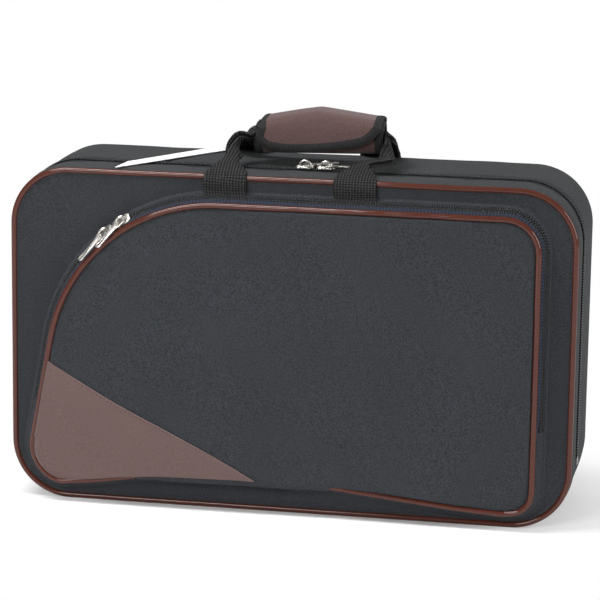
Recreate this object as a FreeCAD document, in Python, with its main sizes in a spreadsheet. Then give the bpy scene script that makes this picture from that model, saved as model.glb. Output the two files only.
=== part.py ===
import FreeCAD
import Part
import Sketcher
import math
import os

# Soft double clarinet case, standing upright on its long edge.
# Millimetres. X runs along the case, Y from the pocket side to the back, Z up.
# The origin lies on the resting face of the rear shell, midway along the case.

Vector = FreeCAD.Vector

DRIVING_SIZES = {
    "case_width": 404.2,
    "case_height": 242.3,
    "corner_radius": 42.1,
    "front_face": 51.0,
    "back_face": 53.0,
    "zip_plane": 16.0,
    "piping_radius": 2.1,
    "cloth": 1.5,
    "panel_thickness": 2.8,
    "foam": 9.5,
    "foam_face": 7.0,
    "lining": 1.2,
    "seam_gap": 0.1,
    "zip_half_width": 3.4,
    "tape_width": 6.5,
    "coil_height": 0.8,
    "zip_end": 44.0,
    "pocket_right": 175.5,
    "pocket_top": 222.0,
    "pocket_bottom": 17.0,
    "pocket_arc_x": 49.0,
    "pocket_arc_radius": 123.5,
    "pocket_foot_x": 160.5,
    "pocket_foot_radius": 24.0,
    "pocket_right_radius": 24.0,
    "pocket_low_radius": 14.0,
    "pocket_depth": 11.4,
    "pocket_cloth": 2.0,
    "gusset_wall": 1.6,
    "gusset_drop": 9.3,
    "gusset_spread": 8.5,
    "patch_cloth": 0.5,
    "patch_reach": 170.5,
    "patch_high": 103.0,
    "patch_slope_run": 138.0,
    "patch_slope_drop": 78.3,
    "webbing_width": 30.0,
    "webbing": 1.6,
    "anchor_x": 46.0,
    "anchor_low": 231.0,
    "anchor_top": 240.2,
    "folded_webbing": 12.0,
    "folded_thickness": 4.0,
    "wrap_left": 37.0,
    "wrap_right": 62.0,
    "wrap_low": 252.0,
    "wrap_eaves": 275.0,
    "wrap_ridge": 282.0,
    "wrap_front": 8.5,
    "wrap_back": 11.5,
    "flap_cloth": 2.0,
    "flap_gap": 1.3,
    "flap_low": 259.0,
    "binding": 5.0,
    "grip_height": 260.0,
    "slider_length": 13.0,
    "slider_width": 8.4,
    "slider_plate": 1.2,
    "crown_radius": 4.0,
    "crown_wire": 1.0,
    "pull_length": 26.0,
    "pocket_pull_length": 27.0,
    "pull_width": 5.0,
    "pull_eye": 9.4,
    "pull_thickness": 1.2,
    "divider": 6.0,
    "divider_face": 8.0,
    "joint_row": 48.0,
    "joint_column": 78.0,
    "box_row": 30.0,
    "box_lid_rear": 3.0,
    "box_lid_thickness": 3.0,
    "box_lid_gap": 0.6,
    "tab_width": 16.0,
    "tab_length": 15.0,
    "tag_thickness": 0.6,
}


class Size:
    """A length that carries its value and the expression that gives it."""

    def __init__(self, value, text):
        self.value = value
        self.text = text

    def join(self, other, sign, value):
        return Size(value, f"({self.text} {sign} {as_size(other).text})")

    def __add__(self, other):
        return self.join(other, "+", self.value + as_size(other).value)

    def __sub__(self, other):
        return self.join(other, "-", self.value - as_size(other).value)

    def __mul__(self, other):
        return self.join(other, "*", self.value * as_size(other).value)

    def __truediv__(self, other):
        return self.join(other, "/", self.value / as_size(other).value)

    def __neg__(self):
        return Size(-self.value, f"(-1 * {self.text})")


def as_size(thing):
    return thing if isinstance(thing, Size) else Size(float(thing), f"{float(thing):.6g}")


def make_sheet():
    sheet = doc.addObject("Spreadsheet::Sheet", "sizes")
    for row, (alias, number) in enumerate(DRIVING_SIZES.items(), start=1):
        sheet.set(f"A{row}", alias)
        sheet.set(f"B{row}", str(number))
        sheet.setAlias(f"B{row}", alias)
    doc.recompute()
    return {alias: Size(number, f"sizes.{alias}") for alias, number in DRIVING_SIZES.items()}


doc = FreeCAD.newDocument("clarinet_case")
S = make_sheet()
NODES = []


def keep(item, label):
    item.Label = label
    NODES.append(item)
    return item


# Sketch helpers

def origin_plane(body, role):
    return [item for item in body.Origin.OriginFeatures if item.Role == role][0]


def new_sketch(body, role, offset):
    sketch = body.newObject("Sketcher::SketchObject", f"{body.Name}_sketch")
    sketch.AttachmentSupport = (origin_plane(body, role), [""])
    sketch.MapMode = "FlatFace"
    sketch.setExpression("AttachmentOffset.Base.z", as_size(offset).text)
    return sketch


def measure(sketch, kind, first, second, size):
    """Binds a distance from the first point to the second; a negative one swaps them."""
    size = as_size(size)
    if size.value < 0:
        first, second, size = second, first, -size
    index = sketch.addConstraint(Sketcher.Constraint(kind, *first, *second, size.value))
    sketch.setExpression(f"Constraints[{index}]", size.text)


def place(sketch, point, x=None, z=None):
    if x is not None:
        measure(sketch, "DistanceX", (-1, 1), point, x)
    if z is not None:
        measure(sketch, "DistanceY", (-1, 1), point, z)


def bind_radius(sketch, arc, size):
    index = sketch.addConstraint(Sketcher.Constraint("Radius", arc, size.value))
    sketch.setExpression(f"Constraints[{index}]", size.text)


def rectangle(sketch, left, right, low, high):
    x0, x1, z0, z1 = (as_size(v) for v in (left, right, low, high))
    corners = [(x0, z0), (x1, z0), (x1, z1), (x0, z1)]
    points = [Vector(x.value, z.value, 0) for x, z in corners]
    for start, end in zip(points, points[1:] + points[:1]):
        sketch.addGeometry(Part.LineSegment(start, end), False)
    for side in range(4):
        sketch.addConstraint(Sketcher.Constraint("Coincident", side, 2, (side + 1) % 4, 1))
        kind = "Horizontal" if side % 2 == 0 else "Vertical"
        sketch.addConstraint(Sketcher.Constraint(kind, side))
    place(sketch, (0, 1), x0, z0)
    place(sketch, (2, 1), x1, z1)


def polygon(sketch, corners):
    corners = [(as_size(x), as_size(z)) for x, z in corners]
    points = [Vector(x.value, z.value, 0) for x, z in corners]
    for start, end in zip(points, points[1:] + points[:1]):
        sketch.addGeometry(Part.LineSegment(start, end), False)
    for side, (x, z) in enumerate(corners):
        sketch.addConstraint(Sketcher.Constraint("Coincident", side, 2, (side + 1) % len(corners), 1))
        place(sketch, (side, 1), x, z)


def chain(sketch, edges):
    """Adds lines and arcs that run tangent into one another round a closed outline."""
    for edge in edges:
        sketch.addGeometry(edge, False)
    for index in range(len(edges)):
        following = (index + 1) % len(edges)
        sketch.addConstraint(Sketcher.Constraint("Tangent", index, 2, following, 1))


def corner_arc(centre, radius, first, last):
    circle = Part.Circle(Vector(*centre, 0), Vector(0, 0, 1), radius)
    return Part.ArcOfCircle(circle, math.radians(first), math.radians(last))


def straight(start, end):
    return Part.LineSegment(Vector(*start, 0), Vector(*end, 0))


def case_outline(inset):
    """The rounded rectangle of the case, drawn in by an inset; an arc for each corner."""
    half = S["case_width"] / 2 - inset
    low = as_size(inset)
    high = S["case_height"] - inset
    radius = S["corner_radius"] - inset

    def draw(sketch):
        x, z0, z1, r = half.value, low.value, high.value, radius.value
        edges = [
            straight((-x + r, z0), (x - r, z0)),
            corner_arc((x - r, z0 + r), r, 270, 360),
            straight((x, z0 + r), (x, z1 - r)),
            corner_arc((x - r, z1 - r), r, 0, 90),
            straight((x - r, z1), (-x + r, z1)),
            corner_arc((-x + r, z1 - r), r, 90, 180),
            straight((-x, z1 - r), (-x, z0 + r)),
            corner_arc((-x + r, z0 + r), r, 180, 270),
        ]
        chain(sketch, edges)
        for flat in (0, 4):
            sketch.addConstraint(Sketcher.Constraint("Horizontal", flat))
        for upright in (2, 6):
            sketch.addConstraint(Sketcher.Constraint("Vertical", upright))
        for arc in (3, 5, 7):
            sketch.addConstraint(Sketcher.Constraint("Equal", 1, arc))
        bind_radius(sketch, 1, radius)
        place(sketch, (2, 1), x=half)
        place(sketch, (6, 1), x=-half)
        place(sketch, (4, 1), z=high)
        measure(sketch, "DistanceY", (0, 1), (4, 2), high - low)

    return draw


def pocket_outline(spread):
    """The pocket's outline, spread outwards from its seam; the big arc is at its top left."""
    right, top = S["pocket_right"] + spread, S["pocket_top"] + spread
    bottom = S["pocket_bottom"] - spread
    arc_radius = S["pocket_arc_radius"] + spread
    foot_radius = S["pocket_foot_radius"] + spread
    right_radius = S["pocket_right_radius"] + spread
    low_radius = S["pocket_low_radius"] + spread

    def draw(sketch):
        x1, z1, z0 = right.value, top.value, bottom.value
        big, foot = arc_radius.value, foot_radius.value
        upper, lower = right_radius.value, low_radius.value
        arc_x, arc_z = -S["pocket_arc_x"].value, z1 - big
        foot_x, foot_z = -S["pocket_foot_x"].value, z0 + foot
        reach = math.hypot(arc_x - foot_x, arc_z - foot_z)
        lean = math.atan2(arc_z - foot_z, arc_x - foot_x) + math.acos((foot - big) / reach)
        out = (math.cos(lean), math.sin(lean))
        lean = math.degrees(lean)
        edges = [
            straight((foot_x, z0), (x1 - lower, z0)),
            corner_arc((x1 - lower, z0 + lower), lower, 270, 360),
            straight((x1, z0 + lower), (x1, z1 - upper)),
            corner_arc((x1 - upper, z1 - upper), upper, 0, 90),
            straight((x1 - upper, z1), (arc_x, z1)),
            corner_arc((arc_x, arc_z), big, 90, lean),
            straight((arc_x + big * out[0], arc_z + big * out[1]),
                     (foot_x + foot * out[0], foot_z + foot * out[1])),
            corner_arc((foot_x, foot_z), foot, lean, 270),
        ]
        chain(sketch, edges)
        for flat in (0, 4):
            sketch.addConstraint(Sketcher.Constraint("Horizontal", flat))
        sketch.addConstraint(Sketcher.Constraint("Vertical", 2))
        for arc, radius in ((1, low_radius), (3, right_radius), (5, arc_radius), (7, foot_radius)):
            bind_radius(sketch, arc, radius)
        place(sketch, (5, 3), x=-S["pocket_arc_x"])
        place(sketch, (7, 3), x=-S["pocket_foot_x"])
        place(sketch, (2, 1), x=right)
        place(sketch, (4, 1), z=top)
        place(sketch, (0, 1), z=bottom)

    return draw


# Solid helpers. A face at depth y is drawn on the XZ plane moved by -y, and a pad runs to the front.

def new_body(name):
    return doc.addObject("PartDesign::Body", name)


def add_slab(body, rear, depth, outline):
    sketch = new_sketch(body, "XZ_Plane", -as_size(rear))
    outline(sketch)
    pad = body.newObject("PartDesign::Pad", f"{body.Name}_pad")
    pad.Profile = sketch
    pad.setExpression("Length", as_size(depth).text)
    return pad


def cut_slab(body, front, depth, outline):
    sketch = new_sketch(body, "XZ_Plane", -as_size(front))
    outline(sketch)
    pocket = body.newObject("PartDesign::Pocket", f"{body.Name}_cut")
    pocket.Profile = sketch
    pocket.setExpression("Length", as_size(depth).text)
    return pocket


def slab(label, rear, depth, outline, holes=()):
    body = new_body(label)
    add_slab(body, rear, depth, outline)
    for front, cut_depth, hole in holes:
        cut_slab(body, front, cut_depth, hole)
    return keep(body, label)


def box_outline(left, right, low, high):
    return lambda sketch: rectangle(sketch, left, right, low, high)


def piping(label, y, outline, start_x, start_z):
    """A round cord along an outline; the circle stands at the start of its bottom edge."""
    body = new_body(label)
    path = new_sketch(body, "XZ_Plane", -as_size(y))
    outline(path)
    ring = new_sketch(body, "YZ_Plane", start_x)
    centre = Vector(as_size(y).value, as_size(start_z).value, 0)
    ring.addGeometry(Part.Circle(centre, Vector(0, 0, 1), S["piping_radius"].value), False)
    bind_radius(ring, 0, S["piping_radius"])
    place(ring, (0, 3), y, start_z)
    pipe = body.newObject("PartDesign::AdditivePipe", f"{body.Name}_pipe")
    pipe.Profile = ring
    pipe.Spine = (path, [])
    return keep(body, label)


def sloped_ring(label, near, far, wall):
    """A band round the pocket whose face slopes from the seam down to the front panel."""
    body = new_body(label)
    for kind, inward in (("AdditiveLoft", 0), ("SubtractiveLoft", wall)):
        sections = []
        for spread, y in (near, far):
            sketch = new_sketch(body, "XZ_Plane", -as_size(y))
            pocket_outline(as_size(spread) - inward)(sketch)
            sections.append(sketch)
        loft = body.newObject(f"PartDesign::{kind}", f"{body.Name}_{kind}")
        loft.Profile = sections[0]
        loft.Sections = sections[1:]
        loft.Ruled = True
    return keep(body, label)


def block(name, length, width, thickness, x, y, z):
    box = doc.addObject("Part::Box", name)
    sides = ("Length", length), ("Width", width), ("Height", thickness)
    places = ("Placement.Base.x", x), ("Placement.Base.y", y), ("Placement.Base.z", z)
    for prop, size in sides + places:
        box.setExpression(prop, as_size(size).text)
    return box


def fuse(label, pieces, placement=None):
    joined = doc.addObject("Part::MultiFuse", label)
    joined.Shapes = pieces
    if placement is not None:
        joined.Placement = placement
    return keep(joined, label)


# Depths of the seams, front to back

front_y = -S["front_face"]
back_y = S["back_face"]
zip_y = -S["zip_plane"]
front_seam = front_y + S["panel_thickness"]
back_seam = back_y - S["piping_radius"] * 2
lid_edge = zip_y - S["seam_gap"]
base_edge = zip_y + S["seam_gap"]
tape_start = S["zip_half_width"] + S["tape_width"]
panel_inset = S["piping_radius"] * 2
foam_inset = S["cloth"]
lining_inset = S["cloth"] + S["foam"]
cell_inset = lining_inset + S["lining"]
zip_lift = -S["coil_height"]
half_width = S["case_width"] / 2
above = S["case_height"] + 20
beside = half_width + 20


def above_zip_end():
    return box_outline(-beside, beside, S["zip_end"], above)


def below_zip_end():
    return box_outline(-beside, beside, -20, S["zip_end"])


# Rear shell: cloth band, back panel, foam, lining, welt and its half of the zip

def make_shell(side, edge, seam, sign):
    """One half of the case; sign is +1 for the rear shell and -1 for the lid."""

    def span(first, last):
        """The rear face and the depth of a slab between two planes."""
        return (last, last - first) if sign > 0 else (first, first - last)

    def front_of(first, last):
        return first if sign > 0 else last

    tape_edge = edge + tape_start * sign
    coil_edge = edge + S["zip_half_width"] * sign
    rear, depth = span(edge, seam)
    tape_cut = front_of(edge, tape_edge), tape_start, above_zip_end()
    slab(f"{side}_side_band", rear, depth, case_outline(0),
         [(front_of(edge, seam), depth, case_outline(S["cloth"])), tape_cut])
    rear, depth = span(coil_edge, tape_edge)
    slab(f"{side}_zip_tape", rear, depth, case_outline(0.4),
         [(front_of(coil_edge, tape_edge), depth, case_outline(S["cloth"])),
          (front_of(coil_edge, tape_edge), depth, below_zip_end())])
    rear, depth = span(edge, coil_edge)
    slab(f"{side}_zip_coil", rear, depth, case_outline(zip_lift),
         [(front_of(edge, coil_edge), depth, case_outline(S["cloth"])),
          (front_of(edge, coil_edge), depth, below_zip_end())])
    rim = edge + S["seam_gap"] * 4 * sign
    floor = seam - S["foam_face"] * sign
    rear, depth = span(rim, seam)
    hollow_rear, hollow_depth = span(rim, floor)
    slab(f"{side}_foam_shell", rear, depth, case_outline(foam_inset),
         [(front_of(rim, floor), hollow_depth, case_outline(lining_inset))])
    lining_floor = floor - S["lining"] * sign
    rear, depth = span(rim, floor)
    cell_depth = span(rim, lining_floor)[1]
    slab(f"{side}_lining", rear, depth, case_outline(lining_inset),
         [(front_of(rim, lining_floor), cell_depth, case_outline(cell_inset))])
    return lining_floor


base_floor = make_shell("base", base_edge, back_seam, 1)
lid_floor = make_shell("lid", lid_edge, front_seam, -1)

seam_start_x = -(half_width - S["corner_radius"])
slab("front_panel", front_seam, S["panel_thickness"], case_outline(panel_inset))
slab("back_panel", back_y, back_y - back_seam, case_outline(panel_inset))
piping("front_piping", front_seam - S["piping_radius"], case_outline(S["piping_radius"]),
       seam_start_x, S["piping_radius"])
piping("rear_welt", back_seam + S["piping_radius"], case_outline(S["piping_radius"]),
       seam_start_x, S["piping_radius"])


def zip_end_stops():
    sides = []
    for x in (half_width, -(half_width + S["coil_height"])):
        sides.append(block("zip_stop", S["coil_height"], S["zip_half_width"], 5,
                           x, base_edge, S["zip_end"] - 5))
    return fuse("zip_end_stops", sides)


zip_end_stops()

# Inside the rear shell: four long rows for the joints, two bell cells and an accessory box between

cell_left = -(half_width - cell_inset)
cell_right = half_width - cell_inset
cell_low = cell_inset
cell_high = S["case_height"] - cell_inset
divider_front = -S["divider_face"]
divider_depth = base_floor - divider_front


def divider(label, left, right, low, high):
    slab(label, base_floor, divider_depth, box_outline(left, right, low, high))


row_pitch = S["joint_row"] + S["divider"]
for number in (1, 2, 3):
    low = cell_low + row_pitch * number - S["divider"]
    divider(f"row_divider_{number}", cell_left, S["joint_column"], low, low + S["divider"])
column_right = S["joint_column"] + S["divider"]
divider("column_divider", S["joint_column"], column_right, cell_low, cell_high)
box_low = S["case_height"] / 2 - S["box_row"] / 2
box_high = box_low + S["box_row"]
divider("bell_divider_lower", column_right, cell_right, box_low - S["divider"], box_low)
divider("bell_divider_upper", column_right, cell_right, box_high, box_high + S["divider"])
box_lid_gap = S["box_lid_gap"]
slab("accessory_lid", -S["box_lid_rear"], S["box_lid_thickness"],
     box_outline(column_right + box_lid_gap, cell_right - box_lid_gap,
                 box_low + box_lid_gap, box_high - box_lid_gap))
tab_x = (column_right + cell_right) / 2
tab_half = S["tab_width"] / 2
tab_low = box_low + 2
slab("accessory_lid_tab", -(S["box_lid_rear"] + S["box_lid_thickness"]), 1,
     box_outline(tab_x - tab_half, tab_x + tab_half, tab_low, tab_low + S["tab_length"]))

# Front pocket: sloping zip bands round a flat panel, with a suede corner patch

pocket_face = front_y - S["pocket_depth"]
pocket_back = pocket_face + S["pocket_cloth"]
slope = S["gusset_drop"] / S["gusset_spread"]
slope_top = front_y - S["gusset_drop"] - 0.2


def on_slope(spread):
    """A point on the sloping band: how far out from the seam, and its depth."""
    return as_size(spread), slope_top + slope * spread


slab("pocket_panel", pocket_back, S["pocket_cloth"], pocket_outline(-S["piping_radius"]))
piping("pocket_piping", pocket_face + 1, pocket_outline(0), -S["pocket_foot_x"], S["pocket_bottom"])
GUSSET_STEPS = {
    "pocket_gusset": (0.0, 3.2),
    "pocket_coil_inner": (3.2, 4.9),
    "pocket_coil_outer": (5.1, 6.7),
    "pocket_outer_tape": (6.7, 8.5),
}
for label, (near, far) in GUSSET_STEPS.items():
    sloped_ring(label, on_slope(near), on_slope(far), S["gusset_wall"])


def corner_patch():
    """The patch fills the low left corner, below a seam that falls to the right."""
    patch_inset = -(S["piping_radius"] + 0.2)
    fall = S["patch_slope_drop"] / S["patch_slope_run"]
    left, right = -S["case_width"], S["case_width"]
    seam_left = S["patch_high"] - fall * (left + S["patch_reach"])
    seam_right = S["patch_high"] - fall * (right + S["patch_reach"])

    def keep_out(sketch):
        polygon(sketch, [(left, seam_left), (right, seam_right), (right, above), (left, above)])

    slab("corner_patch", pocket_face, S["patch_cloth"], pocket_outline(patch_inset),
         [(pocket_face - S["patch_cloth"], S["patch_cloth"], keep_out)])


corner_patch()

# Carrying handles: webbing loops, sewn ends, the padded wrap and its flap


anchor_rear = front_y - S["cloth"]
anchor_face = back_y + 0.1
below_piping = S["case_height"] - S["piping_radius"] * 2 - 0.1
for side, x in (("left", -S["anchor_x"]), ("right", S["anchor_x"])):
    left, right = x - S["webbing_width"] / 2, x + S["webbing_width"] / 2
    sewn_end = box_outline(left, right, S["anchor_low"], S["anchor_top"])
    folded_end = box_outline(left, right, S["anchor_low"], below_piping)
    front_anchor = slab(f"front_anchor_{side}", anchor_rear, S["webbing"], sewn_end)
    add_slab(front_anchor, front_y, S["cloth"], folded_end)
    slab(f"rear_anchor_{side}", anchor_face + S["webbing"], S["webbing"], sewn_end)


def triangle(a, b, c):
    return Part.Face(Part.makePolygon([a, b, c, a]))


def webbing_loop(label, stations):
    """Folded webbing: rectangles that stand across its route, joined corner to corner."""
    route = [Vector(*centre) for centre, *rest in stations]
    sections = []
    for index, (centre, across, width, thickness) in enumerate(stations):
        before, after = route[max(index - 1, 0)], route[min(index + 1, len(route) - 1)]
        along = (after - before).normalize()
        across = Vector(*across)
        across = (across - along * across.dot(along)).normalize() * (width / 2)
        through = along.cross(across).normalize() * (thickness / 2)
        corners = [across + through, through - across, -across - through, across - through]
        sections.append([route[index] + corner for corner in corners])
    faces = []
    for near, far in zip(sections, sections[1:]):
        for corner in range(4):
            following = (corner + 1) % 4
            faces.append(triangle(near[corner], near[following], far[following]))
            faces.append(triangle(near[corner], far[following], far[corner]))
    for end in (sections[0], sections[-1]):
        faces.append(Part.Face(Part.makePolygon(end + end[:1])))
    shell = Part.makeShell(faces)
    shell.sewShape()
    webbing = Part.makeSolid(shell)
    if webbing.Volume < 0:
        webbing.reverse()
    loop = doc.addObject("Part::Feature", label)
    loop.Shape = webbing
    return keep(loop, label)


wide = S["webbing_width"].value
thin = S["webbing"].value
narrow = S["folded_webbing"].value
thick = S["folded_thickness"].value
foot_x = S["anchor_x"].value
grip_z = S["grip_height"].value
grip_left = -S["wrap_left"].value
grip_right = S["wrap_right"].value
FLAT = (1, 0, 0)
UPRIGHT = (0, 0, 1)
FRONT_TURN = (0.7, -0.2, 0.7)
REAR_TURN = (0.7, 0.2, 0.7)

front_foot = anchor_rear.value - thin / 2
webbing_loop("front_webbing", [
    ((-foot_x, front_foot, 241.8), FLAT, wide, thin),
    ((-foot_x, -50.2, 246.6), FLAT, wide - 2, thin),
    ((-foot_x - 1, -37, 252.5), FLAT, 20, 3),
    ((-foot_x - 2, -22, 258.5), FLAT, narrow + 1, thick),
    ((-foot_x - 3, -10, 262.5), FRONT_TURN, narrow, thick),
    ((-foot_x + 1, -2, 262.5), UPRIGHT, narrow, thick),
    ((grip_left - 2.5, 1.5, grip_z), UPRIGHT, narrow, thick),
    ((grip_right + 2.5, 1.5, grip_z), UPRIGHT, narrow, thick),
    ((grip_right + 6, 0.5, grip_z - 0.5), UPRIGHT, narrow, thick),
    ((grip_right + 9, -6, grip_z - 2), FRONT_TURN, narrow, thick),
    ((grip_right + 5, -17, grip_z - 5.5), FLAT, narrow + 1, thick),
    ((foot_x + 6, -32, 254), FLAT, 17, 3),
    ((foot_x, -49, 247.5), FLAT, wide - 3, thin),
    ((foot_x, front_foot, 241.8), FLAT, wide, thin),
])

rear_foot = (anchor_face + S["webbing"] / 2).value
rear_z = grip_z + 4
rear_y = 14.3
webbing_loop("rear_webbing", [
    ((-foot_x, rear_foot, 241.8), FLAT, wide, thin),
    ((-foot_x, 50.2, 246.6), FLAT, wide - 2, thin),
    ((-foot_x, 38, 252.5), FLAT, 20, 3),
    ((-foot_x + 1, 25, 259), FLAT, narrow + 1, thick),
    ((-foot_x + 3, 17, rear_z - 1), REAR_TURN, narrow, thick),
    ((grip_left, rear_y, rear_z), UPRIGHT, narrow, thick),
    ((grip_right - 3, rear_y, rear_z), UPRIGHT, narrow, thick),
    ((grip_right + 1, 18, rear_z - 1.5), REAR_TURN, narrow, thick),
    ((grip_right - 2, 27, rear_z - 5), FLAT, narrow + 1, thick),
    ((foot_x + 7, 38, 252.5), FLAT, 18, 3),
    ((foot_x, 50.2, 246.6), FLAT, wide - 2, thin),
    ((foot_x, rear_foot, 241.8), FLAT, wide, thin),
])

wrap_left, wrap_right = -S["wrap_left"], S["wrap_right"]
wrap_middle = (wrap_right + wrap_left) / 2
wrap_depth = S["wrap_front"] + S["wrap_back"]


def tent(low, lift, inset=0):
    """The wrap's front outline: level below, with a shallow ridge above its middle."""
    left, right = wrap_left + inset, wrap_right - inset
    eaves, ridge = S["wrap_eaves"] + lift, S["wrap_ridge"] + lift

    def draw(sketch):
        polygon(sketch, [(left, low), (right, low), (right, eaves),
                         (wrap_middle, ridge), (left, eaves)])

    return draw


def strap_tunnel(body):
    """The way that the front loop takes through the wrap, from end to end."""
    sketch = new_sketch(body, "YZ_Plane", wrap_left - 1)
    half = S["folded_webbing"] / 2 + 0.2
    side = S["folded_thickness"] / 2 + 0.2
    rectangle(sketch, 1.5 - side.value, 1.5 + side.value,
              S["grip_height"] - half, S["grip_height"] + half)
    cut = body.newObject("PartDesign::Pocket", f"{body.Name}_tunnel")
    cut.Profile = sketch
    cut.Reversed = True
    cut.setExpression("Length", (wrap_right - wrap_left + 2).text)


pad = slab("wrap_pad", S["wrap_back"], wrap_depth, tent(S["wrap_low"], 0))
strap_tunnel(pad)


def wrap_end_bindings():
    """Black tape sewn over both ends of the padded wrap."""
    ends = []
    for x in (wrap_left - S["cloth"], wrap_right):
        low, high = S["wrap_low"] - 0.5, S["wrap_eaves"] + 0.5
        outer = block("binding_outer", S["cloth"], wrap_depth + 1, high - low,
                      x, -(S["wrap_front"] + 0.5), low)
        inner = block("binding_tunnel", S["cloth"] + 2, S["folded_thickness"] + 1,
                      S["folded_webbing"] + 1, x - 1, 1.5 - (S["folded_thickness"] + 1).value / 2,
                      S["grip_height"] - (S["folded_webbing"] + 1) / 2)
        ring = doc.addObject("Part::Cut", "binding_end")
        ring.Base = outer
        ring.Tool = inner
        ends.append(ring)
    return fuse("wrap_end_bindings", ends)


wrap_end_bindings()
strip_rear = -S["wrap_front"]
strip = box_outline(wrap_left + 14, wrap_right - 14, S["flap_low"] + 4, S["flap_low"] + 14)
slab("wrap_loop_strip", strip_rear, 0.6, strip)
slab("flap_hook_strip", strip_rear - 0.7, 0.6, strip)


def wrap_flap():
    """The flap lies over the wrap's ridge and hangs down its front."""
    body = new_body("wrap_flap")
    add_slab(body, S["wrap_back"], wrap_depth + S["flap_gap"] + S["flap_cloth"],
             tent(S["flap_low"], 0.3 + S["flap_cloth"].value))
    cut_slab(body, -(S["wrap_front"] + S["flap_gap"]), wrap_depth + S["flap_gap"] + 1,
             tent(S["flap_low"] - 5, 0.3, -1))
    return keep(body, "wrap_flap")


wrap_flap()
flap_face = -(S["wrap_front"] + S["flap_gap"] + S["flap_cloth"])
slab("flap_binding", flap_face, 0.6, tent(S["flap_low"], 2.3),
     [(flap_face - 0.6, 0.6, tent(S["flap_low"] + S["binding"], 12.3, S["binding"]))])


# Zip sliders: a plate over the coil with one side flange, a crown arch and a pull through it

def slider(label, placement, flange_low):
    length, width, plate = S["slider_length"], S["slider_width"], S["slider_plate"]
    top = block("slider_plate", length, width, plate, -(length / 2), -(width / 2), 0.3)
    flange = block("slider_flange", length, 0.7, 0.4 - flange_low,
                   -(length / 2), width / 2 - 0.7, flange_low)
    crown = doc.addObject("Part::Torus", "slider_crown")
    crown.setExpression("Radius1", S["crown_radius"].text)
    crown.setExpression("Radius2", S["crown_wire"].text)
    crown.Angle3 = 180
    crown.setExpression("Placement.Base.z", (S["slider_plate"] + 0.2).text)
    crown.Placement.Rotation = FreeCAD.Rotation(Vector(1, 0, 0), 90)
    return fuse(label, [top, flange, crown], placement)


def pull(label, placement, length, turn, lift=0):
    """The pull turns on a round cross bar in the crown's window; its arms pass the arch."""
    thickness, width, eye = S["pull_thickness"], S["pull_width"], S["pull_eye"]
    low, arm_width, arm_reach, shoulder_start = 1.7, 1.2, 6.8, 6
    pivot_height = low + thickness.value / 2
    cross = doc.addObject("Part::Cylinder", "pull_cross")
    cross.setExpression("Radius", (thickness / 2).text)
    cross.setExpression("Height", eye.text)
    cross.setExpression("Placement.Base.y", (-(eye / 2)).text)
    cross.Placement.Base.z = pivot_height
    cross.Placement.Rotation = FreeCAD.Rotation(Vector(1, 0, 0), -90)
    arms = [block("pull_arm", arm_reach, arm_width, thickness, 0, y, low)
            for y in (-(eye / 2), eye / 2 - arm_width)]
    shoulder = block("pull_shoulder", 1.6, eye, thickness, shoulder_start, -(eye / 2), low)
    bar = block("pull_bar", length - shoulder_start, width, thickness,
                shoulder_start, -(width / 2), low)
    pivot = Vector(0, 0, pivot_height)
    lifted = FreeCAD.Placement(Vector(), FreeCAD.Rotation(Vector(0, -1, 0), lift), pivot)
    turned = FreeCAD.Placement(Vector(), FreeCAD.Rotation(Vector(0, 0, 1), turn))
    return fuse(label, [cross, *arms, shoulder, bar], placement.multiply(turned).multiply(lifted))


zip_top = S["case_height"].value + S["coil_height"].value
LEFT_SLIDER_X = 3.5
RIGHT_SLIDER_X = 18.5
PULL_TURN = 35
for side, x, turn in (("left", LEFT_SLIDER_X, PULL_TURN), ("right", RIGHT_SLIDER_X, 0)):
    seat = FreeCAD.Placement(Vector(x, zip_y.value, zip_top), FreeCAD.Rotation())
    slider(f"main_slider_{side}", seat, -0.6)
    pull(f"main_pull_{side}", seat, S["pull_length"], turn)


def pocket_seat(angle):
    """A place on the pocket's zip, at an angle round the big arc: X runs down the zip."""
    spread, depth = on_slope(5.0)
    reach = S["pocket_arc_radius"].value + spread.value
    around = math.radians(angle)
    out = Vector(math.cos(around), 0, math.sin(around))
    down = Vector(-math.sin(around), 0, math.cos(around))
    centre = Vector(-S["pocket_arc_x"].value, 0, (S["pocket_top"] - S["pocket_arc_radius"]).value)
    rise = math.atan(slope.value)
    normal = out * math.sin(rise) + Vector(0, -1, 0) * math.cos(rise)
    across = normal.cross(down)
    turn = FreeCAD.Rotation(down, across, normal, "XYZ")
    return FreeCAD.Placement(centre + out * reach + Vector(0, depth.value, 0), turn)


# The seat's angle round the arc, then how far the pull is turned inwards and lifted off the zip
POCKET_SLIDERS = {"upper": (123.2, 37, 11), "lower": (130, 26, 9)}
for level, (angle, turn, lift) in POCKET_SLIDERS.items():
    seat = pocket_seat(angle)
    slider(f"pocket_slider_{level}", seat, 0.1)
    pull(f"pocket_pull_{level}", seat, S["pocket_pull_length"], turn, lift)

# A blank card tag lies across the top, held by a small pin beside the rear webbing

TAG_X = -68.0
TAG_Y = 44.0
tag_low = zip_top + 0.3
tag_corners = [(-126, -51), (-61, 45), (-75, 51), (-123, -26)]


def hang_tag():
    body = new_body("hang_tag")
    sketch = new_sketch(body, "XY_Plane", tag_low)
    polygon(sketch, tag_corners)
    card = body.newObject("PartDesign::Pad", "hang_tag_pad")
    card.Profile = sketch
    card.setExpression("Length", S["tag_thickness"].text)
    hole = new_sketch(body, "XY_Plane", tag_low)
    hole.addGeometry(Part.Circle(Vector(TAG_X, TAG_Y, 0), Vector(0, 0, 1), 1.2), False)
    bind_radius(hole, 0, as_size(1.2))
    place(hole, (0, 3), TAG_X, TAG_Y)
    eye = body.newObject("PartDesign::Pocket", "hang_tag_eye")
    eye.Profile = hole
    eye.Reversed = True
    eye.setExpression("Length", S["tag_thickness"].text)
    return keep(body, "hang_tag")


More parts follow.
